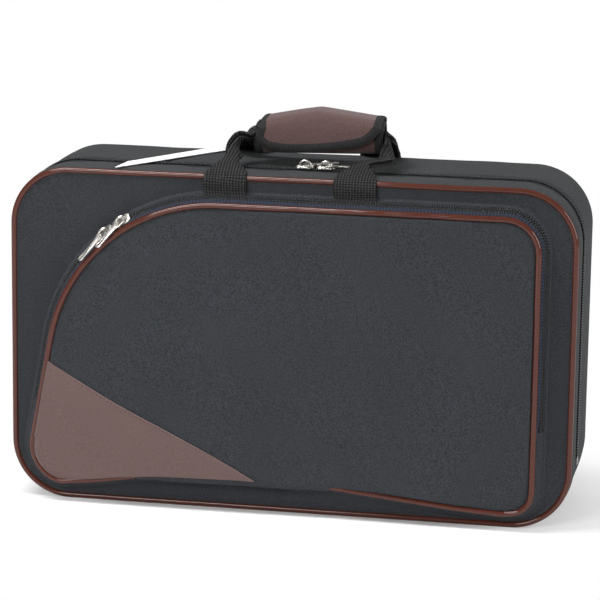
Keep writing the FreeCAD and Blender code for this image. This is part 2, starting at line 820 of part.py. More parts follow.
def tag_pin():
    stem = doc.addObject("Part::Cylinder", "tag_stem")
    stem.Radius = 0.8
    stem.setExpression("Height", as_size(tag_low + 1.2 - DRIVING_SIZES["case_height"]).text)
    head = doc.addObject("Part::Cylinder", "tag_head")
    head.Radius = 2.2
    head.Height = 0.6
    head.Placement.Base = Vector(0, 0, tag_low + 0.9 - DRIVING_SIZES["case_height"])
    seat = FreeCAD.Placement(Vector(TAG_X, TAG_Y, DRIVING_SIZES["case_height"]), FreeCAD.Rotation())
    return fuse("tag_pin", [stem, head], seat)


hang_tag()
tag_pin()

# Checks and export

doc.recompute()
for item in doc.Objects:
    if "Invalid" in item.State or "Error" in item.State:
        raise RuntimeError(f"{item.Label} is {item.State}")
os.makedirs("parts", exist_ok=True)
for item in NODES:
    shape = item.Shape
    if shape.isNull() or not shape.isValid() or not shape.Solids:
        raise RuntimeError(f"{item.Label} has no valid solid")
    shape.exportStep(f"parts/{item.Label}.step")
    box = shape.BoundBox
    print(f"{item.Label:22s} {len(shape.Solids)} solid(s) {shape.Volume / 1000:9.2f} cm3  "
          f"x {box.XMin:7.1f} {box.XMax:7.1f}  y {box.YMin:6.1f} {box.YMax:6.1f}  "
          f"z {box.ZMin:6.1f} {box.ZMax:6.1f}")
print(len(NODES), "nodes")
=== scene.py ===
import math

import bpy
import numpy as np
from mathutils import Matrix, Vector


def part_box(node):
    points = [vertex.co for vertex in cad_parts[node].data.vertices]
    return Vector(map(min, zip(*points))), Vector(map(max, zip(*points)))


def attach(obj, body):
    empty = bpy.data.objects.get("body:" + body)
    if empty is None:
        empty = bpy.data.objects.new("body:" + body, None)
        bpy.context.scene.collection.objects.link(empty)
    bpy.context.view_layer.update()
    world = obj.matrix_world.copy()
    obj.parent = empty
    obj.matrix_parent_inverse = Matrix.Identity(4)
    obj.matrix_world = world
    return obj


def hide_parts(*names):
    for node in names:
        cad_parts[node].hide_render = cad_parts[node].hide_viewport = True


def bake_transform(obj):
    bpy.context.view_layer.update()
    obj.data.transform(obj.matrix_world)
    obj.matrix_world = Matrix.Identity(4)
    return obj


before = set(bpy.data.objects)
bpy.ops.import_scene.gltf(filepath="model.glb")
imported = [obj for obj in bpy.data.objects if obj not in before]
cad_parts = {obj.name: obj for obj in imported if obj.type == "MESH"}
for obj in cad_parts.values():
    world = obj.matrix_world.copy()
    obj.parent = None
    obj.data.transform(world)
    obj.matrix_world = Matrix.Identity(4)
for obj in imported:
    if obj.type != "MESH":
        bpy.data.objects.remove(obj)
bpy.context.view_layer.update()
bpy.ops.object.select_all(action="DESELECT")

# Sizes are in millimetres, as the case was drawn, and MM turns them into the frame's metres.
MM = 0.001

HALF_WIDTH = 202.1
CASE_TOP = 242.3
CASE_CORNER = 42.1
FRONT_FACE = -51.0
BACK_FACE = 53.0
FRONT_SEAM = -48.2
BACK_SEAM = 48.8
ZIP_LINE = -16.0
ZIP_END = 44.0
PIPING = 2.1
POCKET_FACE = -62.4
POCKET_LEAN = 9.3 / 8.5
SLOPE_TOP = -60.5

# The corners of an outline, anticlockwise from the lower left: x, z and the radius.
CASE_CORNERS = [(-HALF_WIDTH, 0, CASE_CORNER), (HALF_WIDTH, 0, CASE_CORNER),
                (HALF_WIDTH, CASE_TOP, CASE_CORNER), (-HALF_WIDTH, CASE_TOP, CASE_CORNER)]
POCKET_CORNERS = [(-189.21, 17, 24), (175.5, 17, 14), (175.5, 222, 24), (-152.21, 222, 123.5)]


# Outlines and meshes

ARC_STEPS = 48


class Outline:
    """A closed outline of straight sides and round corners, anticlockwise from its lower side's middle."""

    def __init__(self, corners):
        points, middles = [], []
        count = len(corners)
        places = [Vector((x, z)) for x, z, _ in corners]
        for index, (x, z, radius) in enumerate(corners):
            arriving = (places[index] - places[index - 1]).normalized()
            leaving = (places[(index + 1) % count] - places[index]).normalized()
            turn = arriving.angle(leaving)
            start = places[index] - arriving * radius * math.tan(turn / 2)
            inward = Vector((-arriving.y, arriving.x))
            centre = start + inward * radius
            first = math.atan2(-inward.y, -inward.x)
            for step in range(ARC_STEPS + 1):
                angle = first + turn * step / ARC_STEPS
                out = Vector((math.cos(angle), math.sin(angle)))
                if step == ARC_STEPS // 2:
                    middles.append(len(points))
                points.append((*(centre + out * radius), *out))
        after_first = ARC_STEPS + 1
        below = tuple((a + b) / 2 for a, b in zip(points[ARC_STEPS], points[after_first]))
        ordered = [below] + points[after_first:] + points[:after_first] + [below]
        table = np.array(ordered)
        gaps = np.hypot(np.diff(table[:, 0]), np.diff(table[:, 1]))
        self.table = table
        self.along = np.concatenate([[0], np.cumsum(gaps)])
        self.length = self.along[-1]
        self.middles = [self.along[(m - after_first) % len(points) + 1] for m in middles]

    def at(self, distance):
        """x, z and the outward direction at a distance round the outline."""
        distance = np.mod(distance, self.length)
        return [np.interp(distance, self.along, self.table[:, column]) for column in range(4)]

    def stations(self, spacing):
        """Even distances round the outline, about a spacing apart."""
        count = round(self.length / spacing)
        return np.arange(count) * self.length / count

    def depth(self, x, z):
        """How far inside the outline a point lies."""
        gap_x = self.table[:, 0] - x
        gap_z = self.table[:, 1] - z
        return float(np.sqrt(np.min(gap_x ** 2 + gap_z ** 2)))


case_edge = Outline(CASE_CORNERS)
pocket_edge = Outline(POCKET_CORNERS)


def wave(distance, seed, length=70.0):
    """A slow, irregular wave between about -1 and 1 that depends on distance alone."""
    total = 0
    for order, share in ((1.0, 0.5), (1.73, 0.3), (2.91, 0.2)):
        total += share * math.sin(distance * order * math.tau / length + seed * (1 + order))
    return total


def bump(value, first, last, edge, last_edge=None):
    """1 between first and last, falling softly to 0 over edge beside first and last_edge beside last."""
    rise = 1 / (1 + math.exp(-(value - first) / edge))
    fall = 1 / (1 + math.exp((value - last) / (last_edge or edge)))
    return rise * fall


def mesh_from_grid(name, rows, across, along, wrap_across=False, wrap_along=False):
    """Rows of points in millimetres joined by quads; across and along are their places on the UV map."""
    rows = [[Vector(point) * MM for point in row] for row in rows]
    width, height = len(rows[0]), len(rows)
    mesh = bpy.data.meshes.new(name)
    faces, marks = [], []
    for i in range(height if wrap_along else height - 1):
        for j in range(width if wrap_across else width - 1):
            k, m = (i + 1) % height, (j + 1) % width
            faces.append((i * width + j, i * width + m, k * width + m, k * width + j))
            marks.append(((i, j), (i, j + 1), (i + 1, j + 1), (i + 1, j)))
    mesh.from_pydata([p for row in rows for p in row], [], faces)
    uv = mesh.uv_layers.new(name="UVMap")
    for face, mark in zip(mesh.polygons, marks):
        for loop, (i, j) in zip(face.loop_indices, mark):
            uv.data[loop].uv = (across[j] * MM, along[i] * MM)
    piece = bpy.data.objects.new(name, mesh)
    bpy.context.scene.collection.objects.link(piece)
    return piece


def activate(piece):
    bpy.ops.object.select_all(action="DESELECT")
    piece.select_set(True)
    bpy.context.view_layer.objects.active = piece


def edit(piece, *steps):
    """Runs edit-mode steps on the whole of a piece."""
    activate(piece)
    bpy.ops.object.mode_set(mode="EDIT")
    bpy.ops.mesh.select_all(action="SELECT")
    for step in steps:
        step()
    bpy.ops.object.mode_set(mode="OBJECT")


def outward(piece):
    """Turns a piece's faces outwards."""
    edit(piece, bpy.ops.mesh.normals_make_consistent)
    return piece


def modify(piece, kind, **settings):
    """Adds a modifier with its settings and applies it."""
    activate(piece)
    modifier = piece.modifiers.new(kind.title(), kind)
    for key, value in settings.items():
        setattr(modifier, key, value)
    bpy.ops.object.modifier_apply(modifier=modifier.name)


def smooth(piece, angle=40):
    activate(piece)
    bpy.ops.object.shade_smooth_by_angle(angle=math.radians(angle))
    return piece


def place(piece):
    """Applies the object's place and size to its mesh."""
    activate(piece)
    bpy.ops.object.transform_apply(location=True, rotation=True, scale=True)
    return piece


def join(name, pieces):
    bpy.ops.object.select_all(action="DESELECT")
    for piece in pieces:
        piece.select_set(True)
    bpy.context.view_layer.objects.active = pieces[0]
    bpy.ops.object.join()
    pieces[0].name = name
    return pieces[0]


def finish_piece(piece, material, body, *nodes):
    """Gives a piece its material, attaches it to its body (the flap's pieces are baked in place instead), and
    hides the solids that it stands for.
    """
    piece.data.materials.clear()
    piece.data.materials.append(material)
    if body == "wrap_flap":
        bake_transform(piece)
    else:
        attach(piece, body)
    if nodes:
        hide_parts(*nodes)
    return piece


def paint(node, material):
    """Gives a solid that shows as it is the scene's own material."""
    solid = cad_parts[node]
    solid.data.materials.clear()
    solid.data.materials.append(material)


def running(places):
    """The distance run along a list of points."""
    total = [0.0]
    for before, after in zip(places, places[1:]):
        total.append(total[-1] + (Vector(after) - Vector(before)).length)
    return total


def band(name, outline, profile, spacing=4.0, shift=None, reach=None):
    """A closed profile of (outward, y) points swept round an outline, or along the part of it
    that reach(x, z) allows. shift(point, station, outward) gives a point's moved place."""
    stations = outline.stations(spacing)
    if reach:
        # A part that holds the outline's start runs on through it.
        if reach(*outline.at(0)[:2]):
            middle = outline.length / 2
            stations = [s - outline.length if s > middle else s for s in stations]
        stations = sorted(s for s in stations if reach(*outline.at(s)[:2]))
    closed = reach is None
    across = running([(a, b, 0) for a, b in profile + profile[:1]])
    rows = []
    for station in stations:
        x, z, out_x, out_z = outline.at(station)
        row = []
        for out, y in profile:
            point = Vector((x + out_x * out, y, z + out_z * out))
            row.append(shift(point, station, out) if shift else point)
        rows.append(row)
    along = list(stations) + [outline.length]
    piece = mesh_from_grid(name, rows, across, along, wrap_across=True, wrap_along=closed)
    if not closed:
        edit(piece, lambda: bpy.ops.mesh.select_all(action="DESELECT"),
             bpy.ops.mesh.select_non_manifold, bpy.ops.mesh.fill)
    return smooth(outward(piece))


def round_profile(out, y, radius, count=28):
    """A cord's round section."""
    turns = [math.tau * step / count for step in range(count)]
    return [(out + radius * math.cos(a), y + radius * math.sin(a)) for a in turns]


# How much closer a panel's rows lie at its edges, and the width and height of its UV map.
CLOSER_AT_EDGES = 0.055
PANEL_MAP = (400, 240)


def panel(name, outline, inset, height_at, columns=110, rows=66, shift=None):
    """A sheet that fills an outline; height_at gives its y from a point and its depth inside."""
    sides = []
    for side in range(4):
        first, last = outline.middles[side], outline.middles[(side + 1) % 4]
        if last < first:
            last += outline.length
        sides.append((first, last))

    def edge(side, share, reverse):
        first, last = sides[side]
        share = 1 - share if reverse else share
        x, z, out_x, out_z = outline.at(first + (last - first) * share)
        return Vector((x - out_x * inset, z - out_z * inset))

    def shares(count):
        even = np.linspace(0, 1, count + 1)
        return even - CLOSER_AT_EDGES * np.sin(even * math.tau)

    grid = []
    for v in shares(rows):
        row = []
        for u in shares(columns):
            low, high = edge(0, u, False), edge(2, u, True)
            left, right = edge(3, v, True), edge(1, v, False)
            sides_mixed = low * (1 - v) + high * v + left * (1 - u) + right * u
            corners_mixed = (edge(0, 0, False) * (1 - u) * (1 - v) + edge(0, 1, False) * u * (1 - v)
                             + edge(2, 0, False) * u * v + edge(2, 1, False) * (1 - u) * v)
            flat = sides_mixed - corners_mixed
            deep = outline.depth(flat.x, flat.y) if 0 < u < 1 and 0 < v < 1 else inset
            point = Vector((flat.x, height_at(flat.x, flat.y, deep), flat.y))
            row.append(shift(point, 0, -deep) if shift else point)
        grid.append(row)
    across = np.linspace(0, PANEL_MAP[0], columns + 1)
    along = np.linspace(0, PANEL_MAP[1], rows + 1)
    return smooth(mesh_from_grid(name, grid, across, along), 60)


def thicken(piece, depth, faces_back=False):
    """Gives a panel's sheet a thickness behind the face that shows."""
    modify(piece, "SOLIDIFY", thickness=depth * MM, offset=1 if faces_back else -1)
    return piece


def copies(name, template, matrices):
    """One mesh of many copies of a small template, each set by its own matrix in millimetres."""
    template_points = [vertex.co.copy() for vertex in template.data.vertices]
    template_faces = [tuple(face.vertices) for face in template.data.polygons]
    points, faces = [], []
    for matrix in matrices:
        start = len(points)
        points.extend((matrix @ point) * MM for point in template_points)
        faces.extend(tuple(start + index for index in face) for face in template_faces)
    mesh = bpy.data.meshes.new(name)
    mesh.from_pydata(points, [], faces)
    piece = bpy.data.objects.new(name, mesh)
    bpy.context.scene.collection.objects.link(piece)
    bpy.data.objects.remove(template)
    return smooth(piece, 50)


def frame_at(point, along, up):
    """A matrix at a point whose X runs along and whose Z points up from the surface."""
    along = Vector(along).normalized()
    side = Vector(up).cross(along).normalized()
    up = along.cross(side)
    matrix = Matrix((along, side, up)).transposed().to_4x4()
    matrix.translation = point
    return matrix


# Materials

def add(tree, kind, feeds=None, **settings):
    """A node with its settings; feeds gives its inputs a value or links them to another node's socket."""
    node = tree.nodes.new(kind)
    for name, value in settings.items():
        setattr(node, name, value)
    for name, value in (feeds or {}).items():
        socket = node.inputs[name]
        if isinstance(value, bpy.types.NodeSocket):
            tree.links.new(value, socket)
        else:
            socket.default_value = value
    return node


def calculate(tree, operation, *terms):
    """A Math node's result."""
    node = add(tree, "ShaderNodeMath", dict(enumerate(terms)), operation=operation)
    return node.outputs[0]


def new_group(name, inputs, outputs):
    tree = bpy.data.node_groups.new(name, "ShaderNodeTree")
    for socket, kind in inputs.items():
        tree.interface.new_socket(socket, in_out="INPUT", socket_type=kind)
    for socket, kind in outputs.items():
        tree.interface.new_socket(socket, in_out="OUTPUT", socket_type=kind)
    return tree, tree.nodes.new("NodeGroupInput").outputs, tree.nodes.new("NodeGroupOutput").inputs


FLOAT, VECTOR = "NodeSocketFloat", "NodeSocketVector"


def flat_side_group():
    """The two coordinates that lie in a face: XZ on the front, XY on top, YZ at the ends."""
    tree, _, out = new_group("Place on the cloth", {}, {"Place": VECTOR})
    coordinates = add(tree, "ShaderNodeTexCoord")
    spot = add(tree, "ShaderNodeSeparateXYZ", {0: coordinates.outputs["Object"]}).outputs
    facing = add(tree, "ShaderNodeVectorMath", {0: coordinates.outputs["Normal"]}, operation="ABSOLUTE")
    facing = add(tree, "ShaderNodeSeparateXYZ", {0: facing.outputs[0]}).outputs
    on_front = calculate(tree, "GREATER_THAN", facing["Y"], 0.6)
    on_top = calculate(tree, "GREATER_THAN", facing["Z"], facing["X"])
    planes = []
    for first, second in (("Y", "Z"), ("X", "Y"), ("X", "Z")):
        plane = add(tree, "ShaderNodeCombineXYZ", {"X": spot[first], "Y": spot[second]})
        planes.append(plane.outputs[0])
    side = add(tree, "ShaderNodeMix", {0: on_top, 4: planes[0], 5: planes[1]}, data_type="VECTOR")
    chosen = add(tree, "ShaderNodeMix", {0: on_front, 4: side.outputs[1], 5: planes[2]}, data_type="VECTOR")
    tree.links.new(chosen.outputs[1], out["Place"])
    return tree


def weave_group():
    """A plain weave: Threads is high on each thread, Cross is 1 where the other thread is on top."""
    tree, source, out = new_group("Plain weave", {"Place": VECTOR, "Across": FLOAT, "Along": FLOAT},
                                  {"Threads": FLOAT, "Cross": FLOAT})
    spot = add(tree, "ShaderNodeSeparateXYZ", {0: source["Place"]}).outputs
    waves = []
    for axis, pitch in (("X", "Across"), ("Y", "Along")):
        turns = calculate(tree, "DIVIDE", spot[axis], source[pitch])
        waves.append(calculate(tree, "SINE", calculate(tree, "MULTIPLY", turns, math.pi)))
    product = calculate(tree, "MULTIPLY", *waves)
    threads = calculate(tree, "SQRT", calculate(tree, "ABSOLUTE", product))
    tree.links.new(threads, out["Threads"])
    tree.links.new(calculate(tree, "GREATER_THAN", product, 0.0), out["Cross"])
    return tree


def mottle_group():
    """Soft patches and fine specks of shade, from 0 to 1 about a middle of 0.5."""
    tree, source, out = new_group("Shade of the cloth", {"Patches": FLOAT, "Specks": FLOAT}, {"Shade": FLOAT})
    coordinates = add(tree, "ShaderNodeTexCoord").outputs["Object"]
    noises = []
    for size, detail in (("Patches", 3.0), ("Specks", 2.0)):
        noises.append(add(tree, "ShaderNodeTexNoise",
                          {"Vector": coordinates, "Scale": source[size], "Detail": detail}))
    patches, specks = noises
    soft = calculate(tree, "MULTIPLY", patches.outputs["Fac"], 0.12)
    shade = calculate(tree, "MULTIPLY_ADD", specks.outputs["Fac"], 0.88, soft)
    tree.links.new(shade, out["Shade"])
    return tree


PLACE_ON_CLOTH = flat_side_group()
PLAIN_WEAVE = weave_group()
CLOTH_SHADE = mottle_group()


def use_group(tree, group, feeds=None):
    node = tree.nodes.new("ShaderNodeGroup")
    node.node_tree = group
    for name, value in (feeds or {}).items():
        if isinstance(value, bpy.types.NodeSocket):
            tree.links.new(value, node.inputs[name])
        else:
            node.inputs[name].default_value = value
    return node.outputs


def new_material(name):
    material = bpy.data.materials.new(name)
    material.use_nodes = True
    tree = material.node_tree
    tree.nodes.clear()
    shader = add(tree, "ShaderNodeBsdfPrincipled")
    add(tree, "ShaderNodeOutputMaterial", {"Surface": shader.outputs[0]})
    return material, tree, shader


def shades(colour, low, high):
    """A darker and a lighter shade of a colour."""
    dark = (*(value * low for value in colour), 1)
    light = (*(min(value * high, 1) for value in colour), 1)
    return dark, light


def woven(name, colour, across, along, depth, by_uv=False, low=0.45, high=1.6, spread=0.17, middle=0.65,
          patches=14.0, specks=1150.0, roughness=0.85, sheen=0.02, gaps=0.5, shine=0.15):
    """Woven cloth. across and along are the thread pitches and depth the relief, in millimetres."""
    material, tree, shader = new_material(name)
    if by_uv:
        spot = add(tree, "ShaderNodeTexCoord").outputs["UV"]
    else:
        spot = use_group(tree, PLACE_ON_CLOTH)["Place"]
    weave = use_group(tree, PLAIN_WEAVE, {"Place": spot, "Across": across * MM, "Along": along * MM})
    shade = use_group(tree, CLOTH_SHADE, {"Patches": patches, "Specks": specks})["Shade"]
    lift = calculate(tree, "SUBTRACT", weave["Threads"], middle)
    mixed = calculate(tree, "MULTIPLY_ADD", lift, gaps, shade)
    ramp = add(tree, "ShaderNodeMapRange",
               {"Value": mixed, "From Min": 0.5 - spread, "From Max": 0.5 + spread})
    dark, light = shades(colour, low, high)
    tone = add(tree, "ShaderNodeMix", {0: ramp.outputs[0], 6: dark, 7: light}, data_type="RGBA")
    tree.links.new(tone.outputs[2], shader.inputs["Base Color"])
    rough = add(tree, "ShaderNodeMapRange",
                {"Value": shade, "To Min": roughness - 0.1, "To Max": roughness + 0.08})
    tree.links.new(rough.outputs[0], shader.inputs["Roughness"])
    relief = add(tree, "ShaderNodeBump",
                 {"Height": weave["Threads"], "Distance": depth * MM, "Strength": 1.0})
    tree.links.new(relief.outputs[0], shader.inputs["Normal"])
    shader.inputs["Sheen Weight"].default_value = sheen
    shader.inputs["Sheen Roughness"].default_value = 0.5
    shader.inputs["Specular IOR Level"].default_value = shine
    return material


def napped(name, colour, low=0.8, high=1.18, fibre=1400.0, depth=0.12, sheen=0.35, patches=22.0):
    """Suede, felt or plush: short fibres that lie a little differently from place to place."""
    material, tree, shader = new_material(name)
    shade = use_group(tree, CLOTH_SHADE, {"Patches": patches, "Specks": fibre})["Shade"]
    ramp = add(tree, "ShaderNodeMapRange", {"Value": shade, "From Min": 0.3, "From Max": 0.7})
    dark, light = shades(colour, low, high)
    tone = add(tree, "ShaderNodeMix", {0: ramp.outputs[0], 6: dark, 7: light}, data_type="RGBA")
    tree.links.new(tone.outputs[2], shader.inputs["Base Color"])
    relief = add(tree, "ShaderNodeBump", {"Height": shade, "Distance": depth * MM, "Strength": 1.0})
    tree.links.new(relief.outputs[0], shader.inputs["Normal"])
    rough = add(tree, "ShaderNodeMapRange", {"Value": shade, "To Min": 0.8, "To Max": 0.98})
    tree.links.new(rough.outputs[0], shader.inputs["Roughness"])
    shader.inputs["Sheen Weight"].default_value = sheen
    shader.inputs["Specular IOR Level"].default_value = 0.2
    return material


def glossy(name, colour, roughness, coat=0.0, low=0.85, high=1.12, metal=0.0, scratch=0.02, scale=60.0,
           shine=0.5):
    """Smooth plastic or metal with faint handling marks."""
    material, tree, shader = new_material(name)
    shade = use_group(tree, CLOTH_SHADE, {"Patches": scale, "Specks": scale * 22})["Shade"]
    dark, light = shades(colour, low, high)
    tone = add(tree, "ShaderNodeMix", {0: shade, 6: dark, 7: light}, data_type="RGBA")
    tree.links.new(tone.outputs[2], shader.inputs["Base Color"])
    rough = add(tree, "ShaderNodeMapRange", {"Value": shade, "From Min": 0.25, "From Max": 0.75,
                                             "To Min": roughness * 0.75, "To Max": roughness * 1.3})
    tree.links.new(rough.outputs[0], shader.inputs["Roughness"])
    relief = add(tree, "ShaderNodeBump", {"Height": shade, "Distance": scratch * MM, "Strength": 1.0})
    tree.links.new(relief.outputs[0], shader.inputs["Normal"])
    shader.inputs["Metallic"].default_value = metal
    shader.inputs["Coat Weight"].default_value = coat
    shader.inputs["Specular IOR Level"].default_value = shine
    shader.inputs["Coat Roughness"].default_value = 0.1
    shader.inputs["Coat IOR"].default_value = 1.5
    return material


front_cloth = woven("front_cloth", (0.032, 0.034, 0.039), 0.75, 0.75, 0.10)
side_cloth = woven("side_cloth", (0.043, 0.045, 0.047), 0.75, 0.75, 0.10)
pocket_cloth = woven("pocket_cloth", (0.0335, 0.0365, 0.042), 0.75, 0.75, 0.10)
brown_cloth = woven("brown_patch_cloth", (0.126, 0.081, 0.076), 0.6, 0.6, 0.05, low=0.8, high=1.2,
                    spread=0.25, roughness=0.9, sheen=0.25, gaps=0.25)
wrap_cloth = woven("brown_wrap_cloth", (0.102, 0.061, 0.0585), 0.8, 0.8, 0.10, low=0.72, high=1.28,
                   spread=0.25, roughness=0.9, sheen=0.2, gaps=0.4)
navy_tape = woven("navy_zip_tape", (0.024, 0.029, 0.043), 0.9, 2.4, 0.10, by_uv=True)
black_tape = woven("black_zip_tape", (0.020, 0.021, 0.024), 0.9, 2.4, 0.10, by_uv=True)
binding_tape = woven("black_binding", (0.024, 0.024, 0.025), 1.0, 1.6, 0.12, by_uv=True)
# The webbing's bright dashes are a painted highlight: its colour rises to 6.5 times on each thread's crown,
# standing in for glints off the shiny ribs.
webbing = woven("black_webbing", (0.0078, 0.0078, 0.0082), 2.1, 1.75, 0.7, by_uv=True, low=0.2, high=6.5,
                roughness=0.55, gaps=2.0, specks=600.0, shine=0.22, spread=0.3, middle=0.82)
piping_vinyl = glossy("brown_piping_vinyl", (0.074, 0.019, 0.011), 0.35, coat=0.7, scratch=0.0, shine=0.0,
                      scale=10.0)
zip_nylon = glossy("black_zip_nylon", (0.016, 0.017, 0.019), 0.32)
nickel = glossy("bright_nickel", (0.64, 0.62, 0.58), 0.28, low=0.9, high=1.03, metal=1.0)
card = napped("white_card", (0.94, 0.94, 0.93), low=0.98, high=1.01, fibre=500.0, depth=0.02, sheen=0.0)
plush = napped("dark_plush", (0.026, 0.027, 0.033), low=0.6, high=1.5, fibre=700.0, depth=0.5, sheen=0.6)
hook_tape = napped("hook_and_loop", (0.014, 0.014, 0.015), fibre=900.0, depth=0.6, sheen=0.1)
black_thread = napped("black_thread", (0.012, 0.012, 0.013), fibre=2500.0, depth=0.05)
brown_thread = napped("brown_thread", (0.022, 0.012, 0.011), fibre=2500.0, depth=0.05)


# Rear half and lid: side cloth, zip tapes and teeth, hinge cloth

UPPER_HALF = 120


def tremble(amount, seed, length=70.0):
    """A shift that moves a point back and forth and up and down by a slow wave along the outline,
    less in the lower half and never below the floor."""

    def shift(point, station, out):
        moved = point + Vector((0, amount * 0.5 * wave(station, seed + 3, length),
                                amount * wave(station, seed, length) * (1 if point.z > UPPER_HALF else 0.3)))
        moved.z = max(moved.z, 0.0)
        return moved

    return shift


def side_profile(edge, seam, sign):
    """The side cloth from its fold beside the zip tape to the seam at its panel."""
    span = (seam - edge) * sign
    outer = [(-0.9, edge - 0.3 * sign), (-0.15, edge), (0.2, edge + 0.9 * sign), (0.05, edge + 2.4 * sign),
             (0.3, edge + span * 0.25 * sign), (0.5, edge + span * 0.5 * sign),
             (0.35, edge + span * 0.75 * sign), (0.0, seam - 2.0 * sign), (-0.7, seam - 0.1 * sign)]
    inner = [(-1.45, seam - 0.3 * sign), (-1.45, edge + span * 0.5 * sign), (-1.45, edge)]
    return outer + inner


# Below this height the side cloth is one piece round the lid's hinge, fixed in place; above it the cloth is
# split at the zip's line.
HINGE_TOP = 14.0
REAR_FOLD = ZIP_LINE + 10.0
LID_FOLD = ZIP_LINE - 10.0
rear_side = band("rear_side_cloth", case_edge, side_profile(REAR_FOLD, BACK_SEAM, 1),
                 shift=tremble(0.25, 1))
finish_piece(rear_side, side_cloth, "base", "base_side_band")
lid_side = band("lid_side_cloth", case_edge, side_profile(LID_FOLD, FRONT_SEAM, -1),
                shift=tremble(0.6, 5, 48))
finish_piece(lid_side, side_cloth, "lid", "lid_side_band")


def above_zip(x, z):
    return z > ZIP_END


hinge = band("hinge_cloth", case_edge,
             [(-0.7, LID_FOLD - 0.4), (-0.1, LID_FOLD + 2), (0.1, ZIP_LINE - 4), (0.1, ZIP_LINE),
              (0.1, ZIP_LINE + 4), (-0.1, REAR_FOLD - 2), (-0.7, REAR_FOLD + 0.4),
              (-1.4, REAR_FOLD), (-1.4, ZIP_LINE), (-1.4, LID_FOLD)], reach=lambda x, z: z < HINGE_TOP)
hinge.data.materials.append(side_cloth)
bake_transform(hinge)


def corner_cloth(name, body, sign, side):
    """One half's side cloth round a lower corner, from the hinge up to the end of the zip."""
    fold = ZIP_LINE + 10.0 * sign
    edge = ZIP_LINE + 0.1 * sign
    profile = [(0.1, edge), (0.1, ZIP_LINE + 4 * sign), (-0.1, fold - 2 * sign), (-0.7, fold + 0.4 * sign),
               (-1.4, fold), (-1.4, edge)]
    cloth = band(name, case_edge, profile,
                 reach=lambda x, z: x * side > 0 and HINGE_TOP - 4 < z < ZIP_END + 3)
    cloth.data.materials.append(side_cloth)
    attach(cloth, body)


for side_name, side in (("left", -1), ("right", 1)):
    corner_cloth(f"rear_corner_cloth_{side_name}", "base", 1, side)
    corner_cloth(f"lid_corner_cloth_{side_name}", "lid", -1, side)


def zip_tape(name, near, far, body, node):
    low, high = min(near, far), max(near, far)
    profile = [(-0.7, low), (-0.5, low + 0.3), (-0.45, (low + high) / 2), (-0.5, high - 0.3),
               (-0.7, high), (-1.4, high), (-1.4, low)]
    tape = band(name, case_edge, profile, spacing=5, reach=lambda x, z: z > ZIP_END - 6)
    finish_piece(tape, black_tape, body, node)


zip_tape("rear_zip_tape", ZIP_LINE + 2.2, ZIP_LINE + 10.5, "base", "base_zip_tape")
zip_tape("lid_zip_tape_cloth", ZIP_LINE - 2.2, ZIP_LINE - 10.5, "lid", "lid_zip_tape")


def tooth(length, width, height):
    """One rounded tooth: length runs along the zip."""
    bpy.ops.mesh.primitive_cube_add(size=1)
    piece = bpy.context.active_object
    piece.scale = (length, width, height)
    place(piece)
    edit(piece, lambda: bpy.ops.mesh.bevel(offset=min(length, height) * 0.3, segments=1))
    return piece


def zip_teeth(name, outline, spot, pitch, size, phase, allowed, shift=None):
    """Teeth set round an outline where allowed(x, z) holds. spot is their outward place, their y and
    the direction that they face, as outward and y; shift(point) gives a tooth's moved place."""
    out, y, lean = spot
    matrices = []
    count = round(outline.length / pitch)
    for index in range(count):
        station = (index + phase) * outline.length / count
        x, z, out_x, out_z = outline.at(station)
        if not allowed(x, z):
            continue
        up = Vector((out_x * lean[0], lean[1], out_z * lean[0]))
        point = Vector((x + out_x * out, y, z + out_z * out))
        point = shift(point) if shift else point
        matrices.append(frame_at(point, (-out_z, 0, out_x), up))
    return copies(name, tooth(*size), matrices)


for side, sign, phase, body in (("rear", 1, 0.0, "base"), ("lid", -1, 0.5, "lid")):
    teeth = zip_teeth(f"{side}_zip_teeth", case_edge, (0.1, ZIP_LINE + 1.7 * sign, (1, 0)), 1.9,
                      (1.05, 3.9, 1.3), phase, above_zip)
    finish_piece(teeth, zip_nylon, body, f"{body}_zip_coil")
paint("zip_end_stops", nickel)


# Panels and piping. A panel crowns a little towards its middle and turns in at its seam.

PANEL_INSET = 2.6
PANEL_THICKNESS = 2.2


def front_height(x, z, deep):
    crown = 0.25 * (1 - math.exp(-deep / 25))
    seam = 1.1 * math.exp(-(deep / 2.6) ** 2)
    return FRONT_FACE - crown + seam + 0.12 * wave(x + z * 0.6, 2, 110)


def back_height(x, z, deep):
    crown = 0.9 * (1 - math.exp(-deep / 40))
    seam = 1.1 * math.exp(-(deep / 2.6) ** 2)
    return BACK_FACE + crown - seam + 0.15 * wave(x - z * 0.5, 4, 120)


front = panel("front_panel_cloth", case_edge, PANEL_INSET, front_height)
thicken(front, PANEL_THICKNESS)
finish_piece(front, front_cloth, "lid", "front_panel")
back = panel("back_panel_cloth", case_edge, PANEL_INSET, back_height)
thicken(back, PANEL_THICKNESS, faces_back=True)
finish_piece(back, front_cloth, "base", "back_panel")

front_cord = band("front_piping_cord", case_edge, round_profile(-PIPING, FRONT_SEAM - PIPING, PIPING),
                  spacing=2.5, shift=tremble(0.22, 8, 120))
finish_piece(front_cord, piping_vinyl, "lid", "front_piping")
rear_cord = band("rear_welt_cord", case_edge, round_profile(-PIPING, BACK_SEAM + PIPING, PIPING * 0.9),
                 spacing=3, shift=tremble(0.2, 9, 90))
finish_piece(rear_cord, side_cloth, "base", "rear_welt")


# Front pocket. Its lower edge sags, so every piece of it takes the same drop.

POCKET_INSET = 1.5
POCKET_THICKNESS = 1.6
# How far the lower edge lies above its straight line, as x and height; it fades out up to SAG_TOP.
SAG_TOP = 95
SAG_FADE = 70
LOWER_EDGE = [(-195, 0.5), (-165, -2.0), (-140, 0.5), (-118, 3.6), (-90, 6.0), (-30, 7.0), (39, 5.3),
              (80, 1.9), (121, -2.3), (155, -4.4), (180, -2.0), (195, 0)]


